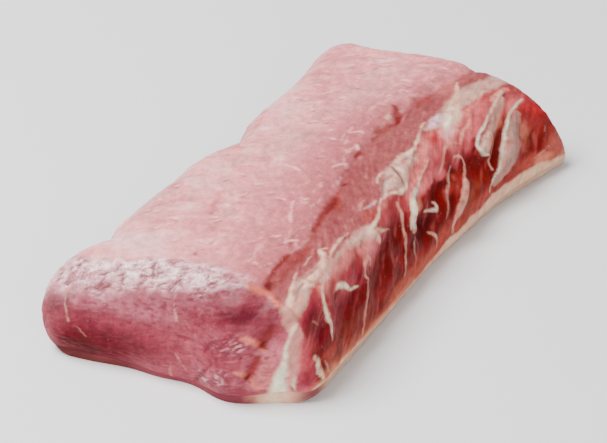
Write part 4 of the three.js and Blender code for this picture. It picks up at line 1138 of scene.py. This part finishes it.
def paint_wet_band(skin, x, s, where, wide_x, wide_s):
    """The wet wrinkled band over the near shoulder: painted sheen, broken by pink and magenta folds as
    painted crease shade; returns how wet each place is.
    """
    top, foot = through(WET_TOP, x), through(WET_FOOT, x)
    reach = 9 - 4 * smooth(-15, 15, x)
    fade = 0.35 * reach * rough_noise(x / 7, s / 9, 77, 2)
    wet = where * smooth(top - 3, top + 3, wide_s + fade / 2)
    wet *= (1 - smooth(foot - reach, foot + 3, wide_s + fade)) * (1 - 0.45 * smooth(8, 24, x))
    skin.lay("wet white", wet * (0.85 + 0.8 * rough_noise(x / 8, s / 6, 73)).clip(0, 1))
    folds = np.abs(rough_noise((wide_x + 0.5 * wide_s) / 10, wide_s / 7, 83, 2))
    creases = np.abs(rough_noise((x + 0.8 * s) / 4.5, s / 4.0, 89, 2))
    # The folds' valleys: pink where the painted sheen gives way, magenta as painted shade
    skin.lay("cut pink", wet * 0.85 * (1 - smooth(0.0, 0.2, folds)))
    skin.lay("cut pink", wet * 0.5 * (1 - smooth(0.0, 0.2, creases)))
    skin.lay("cut magenta", wet * 0.3 * (1 - smooth(0.0, 0.09, folds)))
    skin.height += wet * (2.0 * np.minimum(folds, 0.4) + 0.6 * np.minimum(creases, 0.4) - 0.5)
    return wet


def dress_near(skin, x, s, where):
    """The near shoulder and cut: wet band with painted sheen, folds, painted glints, tendons and slits;
    returns how wet each place is.
    """
    top, foot = through(WET_TOP, x), through(WET_FOOT, x)
    wide_x, wide_s = wander(x, s, 71, 1.6, 8)
    close_x, close_s = wander(x, s, 91, 0.45, 6)
    skin.lay("cut pink", where * smooth(top - 2, top + 3, s))
    skin.areas(NEAR_AREAS, wide_x, wide_s, where)
    cut = where * smooth(foot - 3, foot + 3, s) * (1 - smooth(50, 56, x))
    fair = cut * (0.25 + 0.75 * smooth(0.03, 0.14, skin.meat[:, 1]))
    skin.lay("cut rose", fair * 0.5 * smooth(0.1, 0.9, fibre_noise(x, s, 8, 7, 1.6, 75)))
    skin.lay("cut magenta", fair * 0.35 * smooth(0.1, 0.9, rough_noise(x / 9, s / 6, 76, 2)))
    skin.lay("cut pale", fair * 0.5 * smooth(0.1, 0.9, fibre_noise(x, s, 14, 4, 1.4, 79)))
    wet = paint_wet_band(skin, x, s, where, wide_x, wide_s)
    grain = rough_noise(x / 4.2, s / 2.0, 89, 2)
    skin.height += cut * 0.4 * smooth(70, 60, s) * grain
    skin.lay("cut magenta", fair * 0.5 * smooth(0.1, 0.7, -grain))
    fine = np.abs(fibre_noise(close_x, close_s, 35, 5.5, 2.3, 85))
    # Painted glints on the crests of the wet wrinkles, and magenta as painted shade in their creases
    for at_x, at_s, reach in GLINTS:
        near = where * np.exp(-((x - at_x) ** 2 + (s - at_s) ** 2) / reach ** 2)
        skin.lay("wet white", 0.3 * near * smooth(0.3, 0.6, fine))
        skin.lay("cut magenta", 0.8 * near * (1 - smooth(0.0, 0.25, fine)))
        skin.height += near * np.minimum(fine, 0.6)
        wet = np.maximum(wet, 0.5 * near)
    skin.lines(NEAR_LINES, close_x, close_s, where)
    for _ in range(CUT_STROKES):
        at_x, at_s = random.uniform(-66, 44), random.uniform(24, 70)
        reach = random.uniform(0.2, 0.8)
        ends = [(at_x - reach, at_s + 0.4 * reach, 0.25), (at_x + reach, at_s - 0.4 * reach, 0.25)]
        skin.line("cut pale", 0.35, 0.2, ends, close_x, close_s, where * (0.3 + 0.7 * fair))
    return wet


def dress_far(skin, x, z, where):
    """The far cut: two muscles with the seam and its fat between them."""
    skin.lay("cut pink", where)
    skin.lay("muscle red", where * 0.7 * smooth(0, 8, x - through(FAR_PARTING, z)))
    skin.lay("cut pale", where * 0.5 * smooth(0.1, 0.8, fibre_noise(x, z, 70, 6, 2.2, 101)))
    skin.lay("cut magenta", where * 0.5 * smooth(0.1, 0.9, rough_noise(x / 13, z / 10, 103)))
    skin.lines(FAR_LINES, *wander(x, z, 107, 0.8, 4), where, 1.0)
    skin.height += where * 0.3 * rough_noise(x / 3, z / 2.5, 109, 2)


def lean_grids():
    """The three grids of the lean, as along, down, x and z: the near cut, the long skin and the far cut."""
    along, down, x, z, out_x, out_z = lean_rows()
    relief = rib_relief(along, down) + swell(along, x, z)
    relief[:, OVER_COLUMNS + 1:] = 0.0
    x, z = round_ends(along, x + out_x * relief, z + out_z * relief)
    cuts = []
    for row, end, out, rings in ((0, NEAR_END, -END_BULGE, NEAR_RINGS), (-1, FAR_END, END_BULGE, FAR_RINGS)):
        rim = [finer_under(line[row], OVER_COLUMNS) for line in (x, z, down)]
        ring_x, ring_z, share = end_rings(rim[0], rim[1], rings)
        cuts.append([end + out * (1 - (1 - share) ** 2), rim[2] + 0 * ring_x, ring_x, ring_z])
    near_cut = [line[::-1] for line in cuts[0]]
    return near_cut, [along, down, x, z], cuts[1]


def lean_faces(near_x, rows, columns, far_x):
    cut_columns = OVER_COLUMNS + CUT_COLUMNS
    body = NEAR_RINGS * cut_columns
    far = body + rows * columns
    faces = [(a, c, b) for a, b, c in zip_halves(near_x, 0, OVER_COLUMNS)]
    faces += grid_faces(NEAR_RINGS, cut_columns)
    faces += join_rows(body - cut_columns, cut_columns, body, columns, OVER_COLUMNS)
    faces += grid_faces(rows, columns, body)
    faces += join_rows(far - columns, columns, far, cut_columns, OVER_COLUMNS)
    faces += grid_faces(FAR_RINGS, cut_columns, far)
    return faces + zip_halves(far_x, far + (FAR_RINGS - 1) * cut_columns, OVER_COLUMNS)


def comb(a, d):
    """Shifts places along the fibres by an amount that changes across them, for frayed ends."""
    shift = 0.9 * noise(flow(a, d) / 13, d / 16, 23)
    return a + shift * 0.8, d - shift * 0.6


def dress_lean():
    near_cut, body, far_cut = lean_grids()
    faces = lean_faces(near_cut[2][0], *body[0].shape, far_cut[2][-1])
    grids = (near_cut, body, far_cut)
    rims = [np.repeat(np.maximum(z.max(axis=1), near_cut[3].max()), z.shape[1]) for *_, z in grids]
    a, d, x, z = (np.concatenate([grid[i].ravel() for grid in grids]) for i in range(4))
    edge = z - fat_top(a, x)
    s = shoulder_distance(np.maximum(a, NEAR_END)) + np.concatenate(rims) - z
    left = smooth(-50, -66, x)
    near_where = smooth(0, 3, s - through(CUT_EDGE, x)) * (1 - smooth(-88 - 12 * left, -84 + 8 * left, a))
    near_where *= 1 - smooth(60, 66, x) * smooth(NEAR_END, -108, a)
    far_where = smooth(FAR_END - 2, FAR_END, a)
    away = (1 - near_where) * (1 - far_where)

    skin = Skin(a.shape, "waxy")
    dress_side(skin, a, d, z)
    wet = dress_near(skin, x, s, near_where)
    dress_far(skin, x, z, far_where)
    rib = smooth(0, 4, d - through(BAND_LINE, a))
    skin.height += (0.4 + 0.1 * rib) * rough_noise(a / 9, d / 7, 41, 2) * away
    skin.height += rib * away * 0.3 * rough_noise(flow(a, d) / 5, d / 12, 43, 2)
    skin.height += (0.2 - 0.08 * rib) * rough_noise(a / 3.4, d / 2.8, 45, 2) * away
    fringe = 1.6 + 1.2 * rough_noise(a / 13, d / 9, 47)
    skin.lay("tan", 0.55 * away * rib * smooth(fringe + 4.5, fringe, edge))
    fringe += through(FRINGE_LIFT, a)
    skin.lay("fat side", 0.9 * away * smooth(fringe + 1.5, fringe - 1.2, edge))

    near_light = through(NEAR_LIGHT, s) * (1 - 0.34 * smooth(46, 58, x) * smooth(18, 34, s))
    light = through(SIDE_LIGHT, d) * (1 - near_where) + near_light * near_where
    light += (PLAIN_LIGHT - light) * far_where
    attributes = {
        "meat": bare(skin.meat, light[:, None]),
        "fat_tone": bare(skin.fat_tone, light[:, None]),
        "fat": skin.fat,
        "wet": wet,
        "gloss": smooth(0.02, 0.3, skin.meat[:, 1]) * (1 - 0.5 * skin.fat),
        "cut": np.maximum(near_where * smooth(8, 20, s), far_where),
        "top": (1 - smooth(-6, 0, d)) * away,
        "rib": rib * away * smooth(142, 134, a),
        "wisp": skin.wisp,
        "far": far_where,
        "skin": np.stack([a, d, flow(a, d)], axis=-1) * MM,
    }
    return add_piece("lean", place(a, x, z), faces, attributes, skin.height * smooth(0.4, 2.0, edge))


# Fat cap
def dress_fat():
    along, x, z = fat_rows()
    x, z = round_ends(along, x, z)
    first = 2 * FAT_SIDE_COLUMNS + FAT_UNDER_COLUMNS
    side = smooth(0.0, 1.2, z) * (np.arange(x.shape[1]) <= first)
    lumps = 0.35 * side * rough_noise(along / 8, z / 4 + np.sign(x) * 9, 121, 3)
    rows, columns = x.shape
    faces = [(a, c, b) for a, b, c in zip_halves(x[0], 0, first)] + grid_faces(rows, columns)
    faces += zip_halves(x[-1], (rows - 1) * columns, first)
    corner = 16 * smooth(-36, -60, x)
    near = 1 - smooth(NEAR_END + 4 + corner, NEAR_END + 16 + corner, along)
    skin = Skin(x.shape, "cut pink")
    skin.lay("cut rose", bump(x, 30, 12))
    skin.lay("cut crimson", 0.7 * bump(x, -29, 9))
    skin.lay("cut rose", bump(x, 68, 6))
    skin.lay("crimson", 0.9 * (1 - smooth(-48, -37, x)))
    skin.lay("edge brown", 0.8 * (1 - smooth(-40, -26, x)) * smooth(3.5, 1.0, z))
    skin.lay("rust", 0.75 * (1 - smooth(-36, -16, x)) * smooth(2.4, 0.6, z))
    flesh = near * (1 - smooth(42, 48, x)) + near * 0.9 * bump(x, 68, 6)
    skin.fat_tone[:] = seen_light(FAT_TONES["fat side"])
    skin.lay("fat white", 0.6 * near * bump(x, 52, 8))
    tone = skin.fat_tone + (skin.meat - skin.fat_tone) * flesh[..., None]
    points = place(along, x, z).reshape(-1, 3)
    light = PLAIN_LIGHT + 0.6 * flesh[..., None]
    attributes = {"tone": bare(tone, light).reshape(-1, 3), "pale": 1 - flesh.ravel()}
    return add_piece("fat", points, faces, attributes, lumps.ravel())


# Materials
class Shader:
    """A material's node tree, built node by node."""

    def __init__(self, name):
        self.material = bpy.data.materials.new(name)
        self.material.use_nodes = True
        self.tree = self.material.node_tree
        self.surface = self.tree.nodes["Principled BSDF"]

    def set(self, node, sockets):
        for key, value in sockets.items():
            if isinstance(value, bpy.types.NodeSocket):
                self.tree.links.new(value, node.inputs[key])
            else:
                node.inputs[key].default_value = value

    def add(self, kind, sockets=None, **settings):
        node = self.tree.nodes.new(kind)
        for key, value in settings.items():
            setattr(node, key, value)
        self.set(node, sockets or {})
        return node

    def attribute(self, name, output="Fac"):
        return self.add("ShaderNodeAttribute", attribute_name=name).outputs[output]

    def noise(self, place, scale, detail=3.0, roughness=0.55):
        sockets = {"Vector": place, "Scale": scale, "Detail": detail, "Roughness": roughness}
        return self.add("ShaderNodeTexNoise", sockets).outputs["Fac"]

    def stretched(self, place, turn, scale):
        sockets = {"Vector": place, "Rotation": (0, 0, math.radians(turn)), "Scale": scale}
        return self.add("ShaderNodeMapping", sockets).outputs["Vector"]

    def math(self, operation, a, b=0.0):
        return self.add("ShaderNodeMath", {0: a, 1: b}, operation=operation).outputs[0]

    def plus(self, a, b):
        return self.math("ADD", a, b)

    def times(self, a, b, *others):
        product = self.math("MULTIPLY", a, b)
        return self.times(product, *others) if others else product

    def ridges(self, place, scale, detail):
        """Noise folded at its middle value: near 0 along thin winding lines."""
        return self.math("ABSOLUTE", self.plus(self.noise(place, scale, detail), -0.5))

    def map(self, value, low, high, to_low=0.0, to_high=1.0):
        sockets = {"Value": value, "From Min": low, "From Max": high, "To Min": to_low, "To Max": to_high}
        return self.add("ShaderNodeMapRange", sockets).outputs["Result"]

    def mix(self, share, a, b, blend="MIX"):
        node = self.add("ShaderNodeMix", data_type="RGBA", blend_type=blend)
        self.set(node, {0: share, 6: a, 7: b})
        return node.outputs[2]


def detail_colour(tone, light=PLAIN_LIGHT):
    return (*bare(seen_light(DETAIL_TONES[tone]), light), 1.0)


def lean_material():
    shader = Shader("lean")
    here = shader.add("ShaderNodeTexCoord").outputs["Object"]
    skin = shader.attribute("skin", "Vector")
    meat, fat_tone = shader.attribute("meat", "Vector"), shader.attribute("fat_tone", "Vector")
    names = ("fat", "wet", "cut", "top", "rib", "gloss", "wisp", "far")
    fat, wet, cut, top, rib, gloss, wisp, far = (shader.attribute(name) for name in names)
    coarse = shader.noise(here, 240.0, 4.0)
    fine = shader.noise(here, 900.0, 3.0, 0.6)
    fibre = shader.noise(shader.stretched(skin, 0, (0.0, 110.0, 600.0)), 1.0, 3.0, 0.6)
    streak = shader.noise(shader.stretched(skin, 24, (90.0, 900.0, 1.0)), 1.0, 3.0, 0.6)

    mottle = shader.map(coarse, 0.3, 0.7, 0.80, 1.18)
    grain = shader.map(fine, 0.3, 0.7, 0.90, 1.10)
    lines = shader.plus(shader.mix(rib, streak, fibre), -0.5)
    lines = shader.plus(shader.times(lines, shader.map(rib, 0.0, 1.0, 0.30, 0.33)), 1.0)
    lit_meat = shader.mix(1.0, meat, shader.times(mottle, grain, lines), "MULTIPLY")
    flecks = shader.map(shader.noise(here, 420.0, 2.0), 0.64, 0.74)
    flecks = shader.times(flecks, shader.map(top, 0.0, 1.0, 0.05, 0.25))
    lit_meat = shader.mix(flecks, lit_meat, detail_colour("pale fleck", 2.0))
    # Painted glints: pale specks on the glossy parts of the cut
    glint_specks = shader.map(shader.noise(here, 620.0, 3.0, 0.7), 0.5, 0.8)
    lit_meat = shader.mix(shader.times(glint_specks, cut, gloss, 0.25), lit_meat, detail_colour("glint speck", 1.8))
    # Painted shade along the fine creases of the wet band, which the bump also carves
    crackle = shader.ridges(here, 270.0, 2.0)
    crease_shade = shader.times(shader.map(crackle, 0.0, 0.04, 0.5, 0.0), wet)
    lit_meat = shader.mix(crease_shade, lit_meat, detail_colour("wet crease shade", 2.0))
    veins = shader.map(shader.ridges(here, 75.0, 3.0), 0.0, 0.014, 1.0, 0.0)
    veins = shader.times(veins, shader.map(coarse, 0.42, 0.58, 0.1, 0.5), far)
    lit_meat = shader.mix(veins, lit_meat, detail_colour("vein"))

    ragged = shader.plus(fat, shader.map(coarse, 0.25, 0.75, -0.09, 0.09))
    ragged = shader.plus(ragged, shader.map(fibre, 0.3, 0.7, -0.03, 0.03))
    ragged = shader.times(shader.map(ragged, 0.12, 0.9), shader.map(fat, 0.0, 0.1))
    strands = shader.noise(shader.stretched(skin, 0, (0.0, 90.0, 420.0)), 1.0, 3.0, 0.65)
    creases = shader.map(strands, 0.35, 0.6, 0.84, 1.06)
    creases = shader.times(shader.map(coarse, 0.3, 0.7, 0.88, 1.08), creases)
    lit_fat = shader.mix(1.0, fat_tone, creases, "MULTIPLY")
    blush = shader.map(shader.noise(here, 130.0, 3.0), 0.5, 0.68, 0.0, 0.45)
    lit_fat = shader.mix(blush, lit_fat, detail_colour("blush"))
    base = shader.mix(ragged, lit_meat, lit_fat)
    wisps = shader.times(shader.map(strands, 0.52, 0.68, 0.0, 0.3), wisp)
    base = shader.mix(wisps, base, detail_colour("strand"))

    rough = shader.plus(shader.map(fine, 0.3, 0.7, 0.38, 0.54), shader.times(wet, -0.10))
    ripple = shader.plus(shader.times(coarse, 0.8), shader.times(fine, 0.35))
    ripple = shader.plus(ripple, shader.times(fibre, rib))
    ripple = shader.plus(ripple, shader.times(crackle, wet, 4.0))
    strength = shader.map(wet, 0.0, 1.0, 0.5, 1.0)
    bumps = shader.add("ShaderNodeBump", {"Height": ripple, "Strength": strength, "Distance": BUMP_DEPTH})
    shader.set(shader.surface, {
        "Base Color": base,
        "Roughness": rough,
        "Normal": bumps.outputs["Normal"],
        "Subsurface Weight": 0.25,
        "Subsurface Radius": (1.0, 0.35, 0.25),
        "Subsurface Scale": SCATTER_DEPTH,
        "Specular IOR Level": 0.1,
        "Coat Weight": shader.plus(shader.times(gloss, 0.2), shader.times(wet, 0.7)),
        "Coat Roughness": 0.17,
    })
    return shader.material


def fat_material():
    shader = Shader("fat")
    here = shader.add("ShaderNodeTexCoord").outputs["Object"]
    coarse = shader.noise(here, 120.0, 4.0)
    fine = shader.noise(here, 700.0, 3.0)
    mottle = shader.map(coarse, 0.3, 0.7, 0.88, 1.12)
    base = shader.mix(1.0, shader.attribute("tone", "Vector"), mottle, "MULTIPLY")
    flecks = shader.times(shader.map(fine, 0.5, 0.75, 0.0, 0.3), shader.attribute("pale"))
    base = shader.mix(flecks, base, detail_colour("fat fleck"))
    ripple = shader.plus(shader.times(coarse, 1.5), shader.times(fine, 0.4))
    bumps = shader.add("ShaderNodeBump", {"Height": ripple, "Strength": 0.5, "Distance": BUMP_DEPTH})
    shader.set(shader.surface, {
        "Base Color": base,
        "Roughness": shader.map(fine, 0.3, 0.7, 0.34, 0.5),
        "Normal": bumps.outputs["Normal"],
        "Specular IOR Level": 0.2,
        "Subsurface Weight": 0.3,
        "Subsurface Radius": (1.0, 0.7, 0.5),
        "Subsurface Scale": SCATTER_DEPTH,
    })
    return shader.material


lean = dress_lean()
lean.data.materials.append(lean_material())
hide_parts("loin_meat")
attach(lean, "root")
fat = dress_fat()
fat.data.materials.append(fat_material())
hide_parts("fat_cap")
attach(fat, "root")


def put(thing, spot, facing):
    thing.location = spot
    thing.rotation_euler = facing.to_track_quat("-Z", "Y").to_euler()
    bpy.context.collection.objects.link(thing)


# Camera, at the photo's viewing angle; its lens is in millimetres
VIEW_TURN = math.radians(34)
VIEW_RISE = math.radians(35)
VIEW_DISTANCE = 1.45
VIEW_AIM = Vector((-CENTRE_X * MM, -CENTRE_Y * MM, 0.030))
VIEW_LENS, FILM_WIDTH = 163, 36
back = Vector((
    math.sin(VIEW_TURN) * math.cos(VIEW_RISE),
    -math.cos(VIEW_TURN) * math.cos(VIEW_RISE),
    math.sin(VIEW_RISE),
))
camera_data = bpy.data.cameras.new("camera")
camera_data.lens = VIEW_LENS
camera_data.sensor_width = FILM_WIDTH
camera_data.sensor_fit = "HORIZONTAL"
camera = bpy.data.objects.new("camera", camera_data)
put(camera, VIEW_AIM + back * VIEW_DISTANCE, -back)
bpy.context.scene.camera = camera

# Pale floor and soft studio light
FLOOR_REACH = 3000.0
FLOOR_COLOUR = (0.9, 0.9, 0.9, 1.0)
corners = [(x * FLOOR_REACH, y * FLOOR_REACH, 0) for x, y in ((-1, -1), (1, -1), (1, 1), (-1, 1))]
floor = add_piece("floor", corners, [(0, 1, 2, 3)])
floor_shader = Shader("floor")
floor_shader.set(floor_shader.surface, {"Base Color": FLOOR_COLOUR, "Roughness": 0.8})
floor.data.materials.append(floor_shader.material)

# Lights: name, place in metres, width in metres, power in watts, share of shine
LIGHTS = [
    ("key", (-0.55, -0.4, 1.35), 0.9, 46, 1.0),
    ("fill", (1.1, -0.9, 0.8), 1.2, 12, 0.4),
]
SKY_LIGHT = 0.35
for name, spot, width, power, shine in LIGHTS:
    lamp = bpy.data.lights.new(name, "AREA")
    lamp.energy = power
    lamp.size = width
    lamp.specular_factor = shine
    put(bpy.data.objects.new(name, lamp), spot, -Vector(spot))
world = bpy.data.worlds.new("world")
bpy.context.scene.world = world
world.use_nodes = True
sky = world.node_tree.nodes["Background"].inputs
sky["Color"].default_value = (1, 1, 1, 1)
sky["Strength"].default_value = SKY_LIGHT
